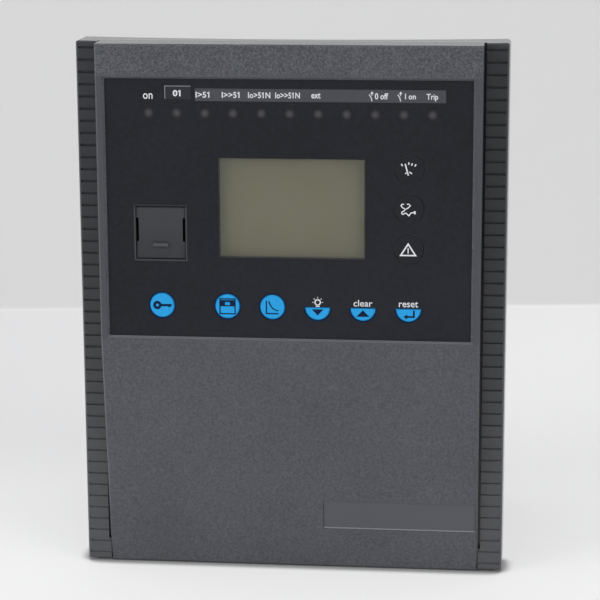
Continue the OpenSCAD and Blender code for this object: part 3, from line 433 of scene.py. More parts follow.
def groove_light_mask(finish):
    """Grows to 1 towards the foot in the grooves and seams of the side strips, which are
    painted lighter there as light bounced from the floor."""
    x, y, z = finish.place()
    deep = (y > BEZEL_LOW.y + GROOVE_LIGHT_DEPTH) * (y < BEZEL_LOW.y + SEAM_REACH)
    within = (abs(x) < BEZEL_HIGH.x - GROOVE_LAND) * (z > BEZEL_LOW.z + GROOVE_LIGHT_LIFT)
    return deep * within * (1 - finish.ease(z, GROOVE_LIGHT_FULL * BEZEL_LOW.z, 0))


def badge_highlight_mask(finish):
    """1 along the lower edge of the badge plate, painted light as a highlight where the edge
    catches the light.
    """
    return finish.place()[2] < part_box("badge_plate")[0].z + BADGE_EDGE


def ledge_mask(finish):
    """1 on the ledge under the display window, which is blacked out."""
    x, y, z = finish.place()
    low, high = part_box("display_window")
    inside = (x > low.x) * (x < high.x) * (z > low.z) * (z < high.z)
    return inside * (y > FILM_Y)


def plain(name, colour, rough, spread=0.05, grain=900):
    """Smooth plastic or resin with a slight unevenness of tone and gloss."""
    finish = Finish(name)
    cloud = finish.noise(grain, 2.0)
    return finish.surface(
        Base_Color=finish.mix(cloud, scaled(colour, 1 - spread), scaled(colour, 1 + spread)),
        Roughness=rough + 0.1 * (cloud - 0.5),
        Specular_IOR_Level=0.25)


def brushed(name, colour, rough, stretch):
    """Metal drawn along one axis."""
    finish = Finish(name)
    lines = finish.noise(420, 3.0, stretch)
    return finish.surface(
        Base_Color=finish.mix(lines, scaled(colour, 0.86), scaled(colour, 1.08)),
        Roughness=rough + 0.18 * (lines - 0.5),
        Metallic=1.0)


def disc_mask(finish, keys, radius):
    """1 within a radius of the middle of any of these keys; on a half key only below it."""
    x, _, z = finish.place()
    mask = None
    for node in keys:
        centre = middle(node)
        inside = length(x - centre.x, z - centre.z) < radius
        if node in HALF_KEYS:
            inside = inside * (z < centre.z)
        mask = inside if mask is None else mask.most(inside)
    return mask


def film_finish(colours, sizes):
    """Textured film with a navy ring printed round each blue key and soft grey spots where
    the light pipes show through."""
    finish = Finish("film")
    x, _, z = finish.place()
    first = LAMP_X - LAMP_PITCH / 2
    within = (x > first) * (x < first + LAMP_PITCH * LAMP_COUNT)
    away = length((x - first) % LAMP_PITCH - LAMP_PITCH / 2, z - LAMP_Z)
    glow = within * (1 - finish.ease(away, LAMP_CORE, LAMP_RADIUS))
    rings = disc_mask(finish, ROUND_KEYS + HALF_KEYS, KEY_RADIUS + sizes.ring)
    speck = finish.noise(FILM_GRAIN)
    mottle = finish.noise(FILM_MOTTLE)
    cloud = finish.noise(FILM_CLOUD)
    level = finish.ease(speck * 0.3 + mottle * 0.4 + cloud * 0.3, *FILM_LEVELS)
    tone = finish.mix(level, scaled(colours.film, 0.84), scaled(colours.film, 1.16))
    finish.bump(speck, 0.12, FILM_HEIGHT)
    spot = finish.mix(finish.noise(60, 1.0), srgb(71, 72, 77), srgb(83, 78, 79))
    tone = finish.mix(glow, tone, spot)
    return finish.surface(
        Base_Color=finish.mix(rings, tone, tuple(colours.navy)),
        Roughness=FILM_ROUGH + 0.1 * speck,
        Specular_IOR_Level=FILM_GLOSS)


def dark_key_finish(colours):
    """Dark key top on a rim painted light grey, which lifts the shade in the gap round the key.
    """
    finish = Finish("key_dark")
    top = disc_mask(finish, DARK_KEYS, DARK_RADIUS)
    speck = finish.noise(FILM_GRAIN)
    tone = finish.mix(speck, scaled(colours.film, 0.86), scaled(colours.film, 1.14))
    finish.bump(speck, 0.1, FILM_HEIGHT)
    return finish.surface(
        # The rim's light grey is painted light that offsets the shade in the gap.
        Base_Color=finish.mix(top, srgb(96, 98, 102), tone),
        Roughness=FILM_ROUGH + 0.1 * speck,
        Specular_IOR_Level=FILM_GLOSS)


def display_finish(colours):
    """Liquid crystal glass: a little mottled, with painted shade that darkens it towards its
    corners.
    """
    finish = Finish("display")
    x, _, z = finish.place()
    low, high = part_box("display_window")
    centre = (low + high) / 2
    half = (high - low) / 2
    # Painted shade, darker towards the corners
    corner_shade = finish.ease(length((x - centre.x) / half.x, (z - centre.z) / half.z), 0.5, 1.5)
    mottle = finish.noise(500, 2.0)
    tone = finish.mix(corner_shade, tuple(colours.display), scaled(colours.display, 0.86))
    return finish.surface(
        Base_Color=finish.mix(mottle * 0.06, tone, scaled(colours.display, 0.5)),
        Roughness=0.42 + 0.08 * mottle,
        Specular_IOR_Level=0.15)


def window_finish():
    """Clear window over the display."""
    finish = Finish("window")
    haze = finish.noise(90, 2.0)
    return finish.surface(
        Base_Color=finish.mix(haze, (0.55, 0.55, 0.52), (0.62, 0.62, 0.6)),
        Roughness=0.16 + 0.06 * haze,
        Alpha=0.04 + 0.02 * haze)


def board_finish():
    """Green solder resist with faint tracks under it."""
    finish = Finish("board")
    pitch, width = 1.27 * MM, 0.3 * MM
    track = ((finish.place()[0] % pitch) < width) * (finish.noise(90, 1.0) > 0.5)
    return finish.surface(
        Base_Color=finish.mix(track * 0.5, srgb(38, 92, 58), srgb(70, 128, 78)),
        Roughness=0.3 + 0.1 * finish.noise(200, 1.0))


def wound_finish():
    """Enamelled wire, turn beside turn, with painted shade darkening each turn towards its
    sides.
    """
    finish = Finish("copper")
    turn = 0.6 * MM
    across = abs((finish.place()[2] % turn) / turn - 0.5) * 2
    return finish.surface(
        Base_Color=finish.mix(across, srgb(176, 104, 52), srgb(96, 48, 22)),
        Roughness=0.3 + 0.15 * across,
        Metallic=0.6)


def ribbon_finish():
    """Flat cable, ribbed along its wires, with painted shade in the grooves between them."""
    finish = Finish("ribbon")
    wire = 1.27 * MM
    across = abs((finish.place()[0] % wire) / wire - 0.5) * 2
    finish.bump(1 - across, 0.4, 0.2 * MM)
    return finish.surface(
        Base_Color=finish.mix(across, srgb(168, 170, 173), srgb(120, 122, 126)),
        Roughness=0.45 + 0.1 * finish.noise(400, 1.0))


def laminated_finish():
    """Stacked iron sheets."""
    finish = Finish("core_iron")
    sheet, gap = 0.5 * MM, 0.1 * MM
    seam = (finish.place()[1] % sheet) < gap
    return finish.surface(
        Base_Color=finish.mix(seam, srgb(104, 106, 110), srgb(52, 50, 50)),
        Roughness=0.5 + 0.15 * finish.noise(300, 2.0),
        Metallic=0.7)


def dress(material, *nodes):
    """Puts a finish on CAD nodes."""
    for node in nodes:
        data = NODES[node].data
        data.materials.clear()
        data.materials.append(material)


class RELAY_OT_mouldings(bpy.types.Operator):
    """Give the bezel, the panel, the flap and the housing their moulded finishes"""

    bl_idname = "relay.mouldings"
    bl_label = "Mouldings"

    def execute(self, context):
        colours = context.scene.relay_colours
        # The bezel's inset paints the grooves lighter towards the foot, as light bounced from
        # the floor.
        dress(grained("bezel_plastic", colours.bezel, grain=1500, spread=0.16, rough=0.44,
                      relief=0.22, gloss=0.8,
                      insets=((scaled(colours.bezel, 1.8), groove_light_mask),)), "bezel_frame")
        # On the panel, insets paint light and shade into the colour: darker margins beside the
        # film, highlights and shade in the grain over it, the shaded lip of the port well and
        # the lit lower side of the film's seat.
        dress(grained("panel_plastic", colours.panel, grain=1000, spread=0.25, rough=0.6,
                      relief=0.3, insets=(
                          (scaled(colours.panel, 0.86), margin_shade_mask),
                          (scaled(colours.panel, 1.6), grain_highlight_mask),
                          (scaled(colours.panel, 0.55), grain_shade_mask),
                          (srgb(66, 68, 72), lip_shade_mask),
                          (srgb(52, 54, 58), lip_top_shade_mask),
                          (scaled(colours.panel, 1.4), seat_light_mask),
                          (srgb(30, 30, 32), ledge_mask))), "front_panel")
        # The badge's inset paints a highlight along its lower edge.
        dress(grained("badge_plastic", scaled(colours.panel, 1.08), grain=2400, spread=0.06,
                      rough=0.5, relief=0.05,
                      insets=((srgb(134, 136, 141), badge_highlight_mask),)), "badge_plate")
        # The flap's insets paint light: lighter towards its top, and a highlight on the grip.
        dress(grained("flap_plastic", srgb(60, 62, 66), grain=1800, spread=0.12, rough=0.55,
                      relief=0.18, insets=((srgb(67, 69, 73), flap_top_light_mask),
                                           (srgb(80, 82, 86), grip_highlight_mask))), "port_flap")
        dress(grained("housing_plastic", colours.housing, grain=1400, spread=0.16, rough=0.6,
                      relief=0.25), "housing")
        dress(grained("seal", srgb(28, 28, 30), grain=1600, spread=0.3, rough=0.9,
                      relief=0.5), "gasket")
        return {"FINISHED"}


class RELAY_OT_front(bpy.types.Operator):
    """Give the film, the keys, the lamps and the display their finishes"""

    bl_idname = "relay.front"
    bl_label = "Film, keys and display"

    def execute(self, context):
        colours = context.scene.relay_colours
        sizes = context.scene.relay_sizes
        dress(film_finish(colours, sizes), "overlay")
        dress(grained("label_card", srgb(76, 77, 83), grain=1900, spread=0.1, rough=0.6,
                      relief=0.05), "led_label")
        dress(grained("sticker", srgb(50, 51, 56), grain=1900, spread=0.08, rough=0.55,
                      relief=0.05), "marker_sticker")
        dress(dark_key_finish(colours), *DARK_KEYS)
        dress(plain("key_blue", colours.blue, rough=0.42, spread=0.07, grain=500),
              *ROUND_KEYS, *HALF_KEYS)
        dress(plain("light_pipe", srgb(214, 216, 214), rough=0.2), "light_guide")
        dress(plain("lamp", srgb(216, 216, 200), rough=0.3), "status_leds")
        dress(window_finish(), "display_window")
        dress(display_finish(colours), "display_glass")
        dress(plain("diffuser", srgb(222, 226, 210), rough=0.5), "display_backlight")
        return {"FINISHED"}


class RELAY_OT_inside(bpy.types.Operator):
    """Give the boards, the connectors, the metal parts and the rear their finishes"""

    bl_idname = "relay.inside"
    bl_label = "Boards, terminals and metal"

    def execute(self, context):
        dress(board_finish(), "key_board", "port_board", "main_board", "power_board",
              "riser_board")
        dress(grained("black_plastic", srgb(30, 31, 34), grain=1500, spread=0.18, rough=0.5,
                      relief=0.12),
              "display_frame", "port_socket", "ribbon_headers", "power_header", "link_socket")
        dress(grained("terminal_plastic", srgb(52, 54, 58), grain=1500, spread=0.14,
                      rough=0.55, relief=0.18), "terminal_plug", "current_block")
        dress(grained("green_plastic", srgb(58, 110, 76), grain=1500, spread=0.14,
                      rough=0.5, relief=0.12), "comm_socket")
        dress(brushed("steel", srgb(196, 197, 200), rough=0.32, stretch=(1, 1, 6)),
              "key_board_screws", "bezel_screws", "pillar_screws", "spacer_screws",
              "rear_screws", "plug_screws", "current_screws", "block_screws", "earth_screw")
        dress(brushed("contact_metal", srgb(208, 184, 112), rough=0.3, stretch=(1, 6, 1)),
              "key_domes", "board_pillars", "board_spacers", "header_pins", "earth_washer")
        dress(brushed("plate_metal", srgb(182, 184, 186), rough=0.42, stretch=(0.08, 1, 2)),
              "rear_plate")
        dress(plain("chip_resin", srgb(32, 33, 36), rough=0.4), "main_chips")
        dress(plain("can_sleeve", srgb(38, 48, 64), rough=0.3), "capacitors")
        dress(plain("relay_case", srgb(216, 217, 210), rough=0.35), "output_relays")
        dress(plain("sensor_case", srgb(42, 74, 122), rough=0.4), "current_sensors")
        dress(ribbon_finish(), "ribbon_cable")
        dress(wound_finish(), "transformer_coil")
        dress(laminated_finish(), "transformer_core")
        return {"FINISHED"}


def front_place(x, y, z):
    """Turns a flat drawing to face forwards at a point, with its depth into the part."""
    return Matrix(((1, 0, 0, x), (0, 0, -1, y), (0, 1, 0, z), (0, 0, 0, 1)))


def rear_place(x, y, z):
    """Turns a flat drawing to face backwards at a point."""
    return Matrix(((-1, 0, 0, x), (0, 0, 1, y), (0, 1, 0, z), (0, 0, 0, 1)))


def text_mesh(words, weight):
    """Words as a mesh of unit size, one thick."""
    curve = bpy.data.curves.new("words", "FONT")
    curve.body = words
    curve.size = 1
    curve.resolution_u = 3
    curve.offset = weight
    curve.extrude = 0.5
    text = bpy.data.objects.new("words", curve)
    bpy.context.scene.collection.objects.link(text)
    graph = bpy.context.evaluated_depsgraph_get()
    mesh = bpy.data.meshes.new_from_object(text.evaluated_get(graph))
    bpy.data.objects.remove(text)
    bpy.data.curves.remove(curve)
    return mesh


def right_end(words, weight):
    """Right end and top of some words at unit size."""
    mesh = text_mesh(words, weight)
    end = max(v.co.x for v in mesh.vertices), max(v.co.y for v in mesh.vertices)
    bpy.data.meshes.remove(mesh)
    return end


def flag_ones(mesh, words, weight):
    """Adds the slanting flag that tells a figure one from a letter."""
    bar, reach, fall, thick, tip = 0.11, 0.17, 0.15, 0.14, 0.27
    work = bmesh.new()
    work.from_mesh(mesh)
    for i, letter in enumerate(words):
        if letter == "1":
            right, top = right_end(words[:i + 1], weight)
            root = right - bar
            outline = ((root, top), (root - reach, top - fall), (root - reach, top - tip),
                       (root, top - thick))
            flag = work.faces.new([work.verts.new((x, y, -0.5)) for x, y in outline])
            grown = bmesh.ops.extrude_face_region(work, geom=[flag])["geom"]
            for vert in grown:
                if isinstance(vert, bmesh.types.BMVert):
                    vert.co.z = 0.5
    bmesh.ops.recalc_face_normals(work, faces=work.faces)
    work.to_mesh(mesh)
    work.free()


def lettering(words, width, height, ink, weight=0.016):
    """Words as a thin mesh that fills a box round the middle."""
    mesh = text_mesh(words, weight)
    flag_ones(mesh, words, weight)
    xs = [v.co.x for v in mesh.vertices]
    ys = [v.co.y for v in mesh.vertices]
    fit = (width / (max(xs) - min(xs)), height / (max(ys) - min(ys)), ink)
    centre = Vector(((max(xs) + min(xs)) / 2, (max(ys) + min(ys)) / 2, -0.5))
    mesh.transform(Matrix.Diagonal((*fit, 1)) @ Matrix.Translation(-centre))
    return mesh


def stroke(points, width, closed=False):
    """A line of even width with mitred bends, as quads."""
    count = len(points)
    path = [Vector(p) for p in points]
    sides = []
    for i, here in enumerate(path):
        before = path[i - 1] if closed or i else None
        after = path[(i + 1) % count] if closed or i < count - 1 else None
        runs = [(b - a).normalized() for a, b in ((before, here), (here, after))
                if a is not None and b is not None]
        normals = [Vector((-run.y, run.x)) for run in runs]
        mitre = sum(normals, Vector((0, 0))).normalized()
        reach = width / 2 / max(0.45, mitre.dot(normals[0]))
        sides.append((here + mitre * reach, here - mitre * reach))
    pairs = count if closed else count - 1
    return [(sides[i][0], sides[i][1], sides[(i + 1) % count][1], sides[(i + 1) % count][0])
            for i in range(pairs)]


def arc(centre, radius, start, end, steps=14):
    """Points on an arc, in degrees."""
    return [(centre[0] + radius * math.cos(math.radians(start + (end - start) * i / steps)),
             centre[1] + radius * math.sin(math.radians(start + (end - start) * i / steps)))
            for i in range(steps + 1)]


def ring(centre, outer, inner):
    """A circle drawn with a broad line."""
    return stroke(arc(centre, (outer + inner) / 2, 0, 360, 24)[:-1], outer - inner, True)


def block(x0, y0, x1, y1):
    """A filled rectangle."""
    return [[(x0, y0), (x1, y0), (x1, y1), (x0, y1)]]


def drawing(faces, ink):
    """Flat shapes in millimetres as a thin mesh round the middle."""
    work = bmesh.new()
    for face in faces:
        work.faces.new([work.verts.new((p[0] * MM, p[1] * MM, 0)) for p in face])
    bmesh.ops.remove_doubles(work, verts=work.verts, dist=0.001 * MM)
    grown = bmesh.ops.extrude_face_region(work, geom=work.faces[:])
    for item in grown["geom"]:
        if isinstance(item, bmesh.types.BMVert):
            item.co.z += ink
    bmesh.ops.recalc_face_normals(work, faces=work.faces)
    mesh = bpy.data.meshes.new("drawing")
    work.to_mesh(mesh)
    work.free()
    return mesh


def piece(name, placed, material, body):
    """Joins placed meshes into one piece that rides on a body."""
    work = bmesh.new()
    for mesh, matrix in placed:
        mesh.transform(matrix)
        work.from_mesh(mesh)
        bpy.data.meshes.remove(mesh)
    mesh = bpy.data.meshes.new(name)
    work.to_mesh(mesh)
    work.free()
    mesh.materials.clear()
    mesh.materials.append(material)
    made = bpy.data.objects.new(name, mesh)
    bpy.context.scene.collection.objects.link(made)
    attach(made, body)


def print_finish(name, colour):
    """Printed ink, a little uneven."""
    return plain(name, colour, rough=0.6, spread=0.04, grain=1400)


# Words on the label card: text, place across, width and height in millimetres
CARD_WORDS = (
    ("I>51", -34.3, 5.6, 2.4), ("I>>51", -22.9, 7.2, 2.4), ("Io>51N", -11.4, 9.0, 2.4),
    ("Io>>51N", 0.0, 9.9, 2.4), ("ext", 11.4, 3.7, 2.2), ("0 off", 37.6, 5.3, 2.5),
    ("I on", 49.1, 4.3, 2.3), ("Trip", 57.8, 4.6, 3.1),
)
SWITCH_PLACES = (33.4, 44.8)
TRIP_DROP = 0.4 * MM
LIGHT_WEIGHT = 0.006
BOLD_WEIGHT = 0.03


class RELAY_OT_legends(bpy.types.Operator):
    """Print the words over the lamps and the keys"""

    bl_idname = "relay.legends"
    bl_label = "Legends"

    def execute(self, context):
        ink = context.scene.relay_sizes.ink
        white = print_finish("white_ink", context.scene.relay_colours.white)
        card = middle("led_label")
        placed = []
        for words, x, width, height in CARD_WORDS:
            drop = TRIP_DROP if words == "Trip" else 0
            placed.append((lettering(words, width * MM, height * MM, ink),
                           front_place(x * MM, CARD_Y, card.z - drop)))
        for x in SWITCH_PLACES:
            sign = (stroke([(-0.75, 0.7), (0.1, -0.6), (0.4, -2.0)], 0.34)
                    + stroke([(0.35, 0.2), (0.4, 1.2)], 0.3)
                    + [[(-0.3, 0.95), (1.1, 0.95), (0.4, 1.95)]])
            placed.append((drawing(sign, ink), front_place(x * MM, CARD_Y, card.z)))
        piece("card_print", placed, white, ROOT_BODY)

        up, enter, down = (middle(node) for node in ("key_up", "key_enter", "key_down"))
        lamp = (ring((0, 2.3), 1.35, 0.85) + block(-0.8, 0.42, 0.8, 0.85)
                + block(-0.65, 0.85, 0.65, 1.25))
        for angle in (0, 45, 90, 135, 180):
            lamp += stroke(arc((0, 2.3), 1.7, angle, angle, 1)[:1]
                           + arc((0, 2.3), 2.25, angle, angle, 1)[:1], 0.28)
        placed = [
            (lettering("on", 3.9 * MM, 2.3 * MM, ink, LIGHT_WEIGHT),
             front_place(LAMP_X - 0.2 * MM, FILM_Y, card.z - 0.7 * MM)),
            (lettering("clear", 7.7 * MM, 2.7 * MM, ink, LIGHT_WEIGHT),
             front_place(up.x, FILM_Y, up.z + 2.25 * MM)),
            (lettering("reset", 7.8 * MM, 2.35 * MM, ink, LIGHT_WEIGHT),
             front_place(enter.x, FILM_Y, enter.z + 2.1 * MM)),
            (drawing(lamp, ink), front_place(down.x, FILM_Y, down.z)),
        ]
        piece("film_print", placed, white, ROOT_BODY)

        sticker = middle("marker_sticker")
        low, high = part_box("marker_sticker")
        inset = 0.2
        half_w = (high.x - low.x) / 2 / MM - inset
        half_h = (high.z - low.z) / 2 / MM - inset
        placed = [(lettering("01", 3.2 * MM, 2.6 * MM, ink, BOLD_WEIGHT),
                   front_place(sticker.x - 0.4 * MM, STICKER_Y, sticker.z - 0.3 * MM))]
        piece("sticker_number", placed, white, ROOT_BODY)
        # A light line along the sticker's left and upper edges is a painted highlight, where
        # those edges catch the light.
        edge = stroke([(-half_w, -half_h), (-half_w, half_h), (half_w, half_h)], 0.35)
        placed = [(drawing(edge, ink), front_place(sticker.x, STICKER_Y, sticker.z))]
        piece("sticker_edge_highlight", placed, print_finish("sticker_rim", srgb(128, 130, 138)),
              ROOT_BODY)
        return {"FINISHED"}


# The key signs are drawn in millimetres round the middle of their key
def meter_sign():
    """A needle over a dial's ticks."""
    pivot = Vector((-0.1, -2.7))
    faces = stroke([(-1.4, 2.05), (-0.1, -2.65)], 0.55)
    faces += stroke(arc((0, -2.9), 1.6, 145, 102, 6), 0.5)
    faces += stroke(arc((0, -2.9), 1.6, 84, 35, 6), 0.5)
    for x, y in ((-2.7, 1.6), (0.05, 2.2), (1.35, 1.85), (2.7, 1.5)):
        spot = Vector((x, y))
        along = (spot - pivot).normalized() * 0.5
        faces += stroke([spot - along, spot + along], 0.5)
    return faces


def listening_sign():
    """A listening tube, for diagnosis."""
    faces = stroke([(-1.7, 2.2), (-2.5, 2.2), (-3.0, 1.6), (-2.4, 0.85), (-1.25, 0.2)], 0.42)
    faces += stroke([(-0.6, 2.2), (0.2, 2.25), (0.75, 1.65), (0.15, 0.9), (-0.95, 0.2)], 0.42)
    faces += stroke([(-1.1, 0.3), (-1.8, -0.55), (-2.65, -1.0), (-2.7, -1.6), (-2.15, -1.95),
                     (-1.5, -1.5), (-0.9, -1.35), (0.2, -2.5), (1.1, -1.25), (2.2, -1.15)], 0.44)
    return faces + block(2.2, -1.8, 2.95, -0.55)


def alarm_sign():
    """A triangle with an upright bar."""
    faces = stroke([(-3.0, -2.2), (3.0, -2.2), (0, 2.45)], 0.6, True)
    return faces + block(-0.22, -1.4, 0.22, 0.75)


def lock_key_sign():
    """A key that lies on its side."""
    faces = ring((-2.0, 0), 1.75, 0.6)
    faces += block(-0.4, -0.5, 3.9, 0.5)
    return faces + block(2.6, -0.95, 3.2, -0.5)


def store_sign():
    """A storage disk."""
    faces = stroke([(-3.1, -3.1), (3.1, -3.1), (3.1, 3.1), (-3.1, 3.1)], 0.5, True)
    faces += block(-2.85, 0.0, -1.0, 2.6) + block(1.0, 0.0, 2.85, 2.6)
    faces += block(-1.0, 1.75, 1.0, 2.6) + block(-1.0, 0.0, 1.0, 0.5)
    return faces


def curve_sign():
    """Two axes with a falling curve."""
    fall = [(-1.5 + 3.9 * t, -1.6 + 4.1 * math.exp(-3.2 * t)) for t in
            (i / 12 for i in range(13))]
    return stroke([(-2.5, 2.7), (-2.5, -2.7), (2.5, -2.7)], 0.5) + stroke(fall, 0.5)


def down_sign():
    """A triangle that points down."""
    return [[(-2.4, -0.55), (0, -3.1), (2.4, -0.55)]]


def up_sign():
    """A triangle that points up."""
    return [[(-2.7, -3.3), (2.7, -3.3), (0, -0.6)]]


def enter_sign():
    """A bent arrow."""
    return (stroke([(2.2, -0.3), (2.2, -3.0), (-0.6, -3.0)], 0.75)
            + [[(-2.0, -3.0), (-0.5, -4.05), (-0.5, -1.95)]])


DARK_SIGN_SHIFT = 0.3 * MM
KEY_SIGNS = {
    "key_meter": meter_sign, "key_diagnosis": listening_sign, "key_alarm": alarm_sign,
    "key_password": lock_key_sign, "key_parameters": store_sign, "key_curves": curve_sign,
    "key_down": down_sign, "key_up": up_sign, "key_enter": enter_sign,
}


class RELAY_OT_key_signs(bpy.types.Operator):
    """Print a sign on each key"""

    bl_idname = "relay.key_signs"
    bl_label = "Key signs"

    def execute(self, context):
        colours = context.scene.relay_colours
        ink = context.scene.relay_sizes.ink
        white = print_finish("white_sign", colours.white)
        navy = print_finish("navy_sign", colours.navy)
        for node, sign in KEY_SIGNS.items():
            centre = middle(node)
            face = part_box(node)[0].y
            dark = node in DARK_KEYS
            shift = DARK_SIGN_SHIFT if dark else 0
            placed = [(drawing(sign(), ink),
                       front_place(centre.x - shift, face, centre.z - shift))]
            piece("sign_" + node[4:], placed, white if dark else navy, BODY_OF_KEY[node])
        return {"FINISHED"}


class RowTree(NodeMaker):
    """A Geometry Nodes tree that sets one shape along a straight row."""

    def __init__(self, name):
        super().__init__(bpy.data.node_groups.new(name, "GeometryNodeTree"))
        self.inputs = {}
        self.tree.interface.new_socket("Geometry", in_out="OUTPUT",
                                       socket_type="NodeSocketGeometry")

    def ask(self, name, kind):
        """Adds a named input and keeps its identifier."""
        socket = self.tree.interface.new_socket(name, in_out="INPUT", socket_type=kind)
        self.inputs[name] = socket.identifier


def row_tree():
    """Rows of one block: count, step, start, block size, turn and material are inputs."""
    row = RowTree("row_of_blocks")
    row.ask("Count", "NodeSocketInt")
    for name in ("Start", "Step", "Size", "Turn"):
        row.ask(name, "NodeSocketVector")
    row.ask("Material", "NodeSocketMaterial")
    given = row.add("NodeGroupInput").outputs
    line = row.add("GeometryNodeMeshLine", {"mode": "OFFSET"}, {
        "Count": given["Count"], "Start Location": given["Start"], "Offset": given["Step"]})
    solid = row.add("GeometryNodeMeshCube", None, {"Size": given["Size"]})
    turn = row.add("FunctionNodeEulerToRotation", None, {0: given["Turn"]})
    copies = row.add("GeometryNodeInstanceOnPoints", None, {
        "Points": line.outputs[0], "Instance": solid.outputs[0], "Rotation": turn.outputs[0]})
    real = row.add("GeometryNodeRealizeInstances", None, {0: copies.outputs[0]})
    painted = row.add("GeometryNodeSetMaterial", None, {
        "Geometry": real.outputs[0], "Material": given["Material"]})
    row.add("NodeGroupOutput", None, {0: painted.outputs[0]})
    return row


def block_row(row, name, values, body):
    """Runs the row tree with these inputs and keeps its result as a plain mesh."""
    maker = bpy.data.objects.new(name, bpy.data.meshes.new(name + "_seed"))
    bpy.context.scene.collection.objects.link(maker)
    modifier = maker.modifiers.new("row", "NODES")
    modifier.node_group = row.tree
    for key, value in values.items():
        modifier[row.inputs[key]] = value
    graph = bpy.context.evaluated_depsgraph_get()
    mesh = bpy.data.meshes.new_from_object(maker.evaluated_get(graph))
    maker.modifiers.remove(modifier)
    maker.data = mesh
    mesh.name = name
    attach(maker, body)


# Spring contacts of a modular socket, and clamps of the screw terminals
CONTACT_WIRE = 0.4 * MM
CONTACT_LENGTH = 8.5 * MM
CONTACT_DEPTH = 6.5 * MM
CONTACT_RISE = 3.6 * MM
CONTACT_TILT = math.radians(-14)
CLAMP_SIZE = (3.0 * MM, 2.4 * MM, 1.1 * MM)
CLAMP_SHIFT = 3.4 * MM
CLAMP_DEPTH = 5.6 * MM


class RELAY_OT_contacts(bpy.types.Operator):
    """Set the spring contacts in the modular sockets and the clamps in the screw terminals"""

    bl_idname = "relay.contacts"
    bl_label = "Contacts and clamps"

    def execute(self, context):
        sizes = context.scene.relay_sizes
        gold = brushed("spring_gold", srgb(214, 178, 96), rough=0.25, stretch=(1, 6, 1))
        zinc = brushed("clamp_zinc", srgb(176, 178, 182), rough=0.35, stretch=(6, 1, 1))
        row = row_tree()
        for node in ("comm_socket", "link_socket"):
            low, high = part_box(node)
            centre = (low + high) / 2
            span = (sizes.contact_count - 1) * sizes.contact_pitch
            block_row(row, node[:4] + "_contacts", {
                "Count": sizes.contact_count,
                "Start": (centre.x - span / 2, high.y - CONTACT_DEPTH, low.z + CONTACT_RISE),
                "Step": (sizes.contact_pitch, 0, 0),
                "Size": (CONTACT_WIRE, CONTACT_LENGTH, CONTACT_WIRE),
                "Turn": (CONTACT_TILT, 0, 0),
                "Material": gold,
            }, ROOT_BODY)
        low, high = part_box("terminal_plug")
        centre = (low + high) / 2
        span = (sizes.way_count - 1) * sizes.way_pitch
        block_row(row, "wire_clamps", {
            "Count": sizes.way_count,
            "Start": (centre.x - CLAMP_SHIFT, high.y - CLAMP_DEPTH, centre.z - span / 2),
            "Step": (0, 0, sizes.way_pitch),
            "Size": CLAMP_SIZE,
            "Turn": (0, 0, 0),
            "Material": zinc,
        }, ROOT_BODY)
        return {"FINISHED"}


# Places of the marks on the rear plate
WAY_NUMBER_GAP = 3.6 * MM
EARTH_RISE = 10.5 * MM
EARTH_SHIFT = 0.2 * MM
CURRENT_COUNT = 6
CURRENT_PITCH = 15.4 * MM
CURRENT_RISE = 2.8 * MM


class RELAY_OT_rear_marks(bpy.types.Operator):
    """Print terminal numbers and the earth sign on the rear"""

    bl_idname = "relay.rear_marks"
    bl_label = "Rear marks"

    def execute(self, context):
        sizes = context.scene.relay_sizes
        ink = sizes.ink
        black = print_finish("black_ink", srgb(36, 37, 40))
        plate_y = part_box("rear_plate")[1].y
        plug = middle("terminal_plug")
        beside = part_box("terminal_plug")[0].x - WAY_NUMBER_GAP
        span = (sizes.way_count - 1) * sizes.way_pitch
        placed = []
        for i in range(sizes.way_count):
            number = str(sizes.way_count - i)
            z = plug.z - span / 2 + i * sizes.way_pitch
            placed.append((lettering(number, 1.25 * MM * len(number), 2.1 * MM, ink),
                           rear_place(beside, plate_y, z)))
        earth = middle("earth_screw")
        sign = (stroke([(0, 2.4), (0, 0)], 0.5) + block(-2, -0.45, 2, 0.05)
                + block(-1.25, -1.35, 1.25, -0.85) + block(-0.5, -2.25, 0.5, -1.75))
        placed.append((drawing(sign, ink),
                       rear_place(earth.x - EARTH_SHIFT, plate_y, earth.z + EARTH_RISE)))
        low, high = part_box("current_block")
        for i in range(CURRENT_COUNT):
            x = (low.x + high.x) / 2 + ((CURRENT_COUNT - 1) / 2 - i) * CURRENT_PITCH
            placed.append((lettering(str(i + 1), 1.6 * MM, 2.8 * MM, ink),
                           rear_place(x, plate_y, high.z + CURRENT_RISE)))
        piece("plate_print", placed, black, ROOT_BODY)
        return {"FINISHED"}


# Studio: share of even tone, places of its table and wall, and the camera's fit
EVEN_SHARE = 0.6
TABLE_FRONT = 0.33
WALL_Y = 0.488
WALL_LEAN = 0.118
TONE_SPAN_X = (-0.15, 0.15)
TONE_SPAN_Y = (-0.05, 0.2)
SHADOW_REACH = 8 * MM
SHADOW_LEVELS = (0.5, 0.9)
CAMERA_PLACE = (0.09604, -0.8845, 0.19575)
CAMERA_RIGHT = (0.99442, 0.10538, -0.00421)
CAMERA_UP = (-0.01848, 0.21349, 0.97677)
CAMERA_LENS = 129.66


def softbox(name, power, size, place, aim):
    """A soft lamp that looks at a point and stays out of reflections."""
    lamp = bpy.data.lights.new(name, "AREA")
    lamp.shape = "RECTANGLE"
    lamp.size, lamp.size_y = size
    lamp.energy = power
    made = bpy.data.objects.new(name, lamp)
    made.location = place
    made.rotation_euler = (Vector(aim) - Vector(place)).to_track_quat("-Z", "Y").to_euler()
    made.visible_glossy = False
    bpy.context.scene.collection.objects.link(made)


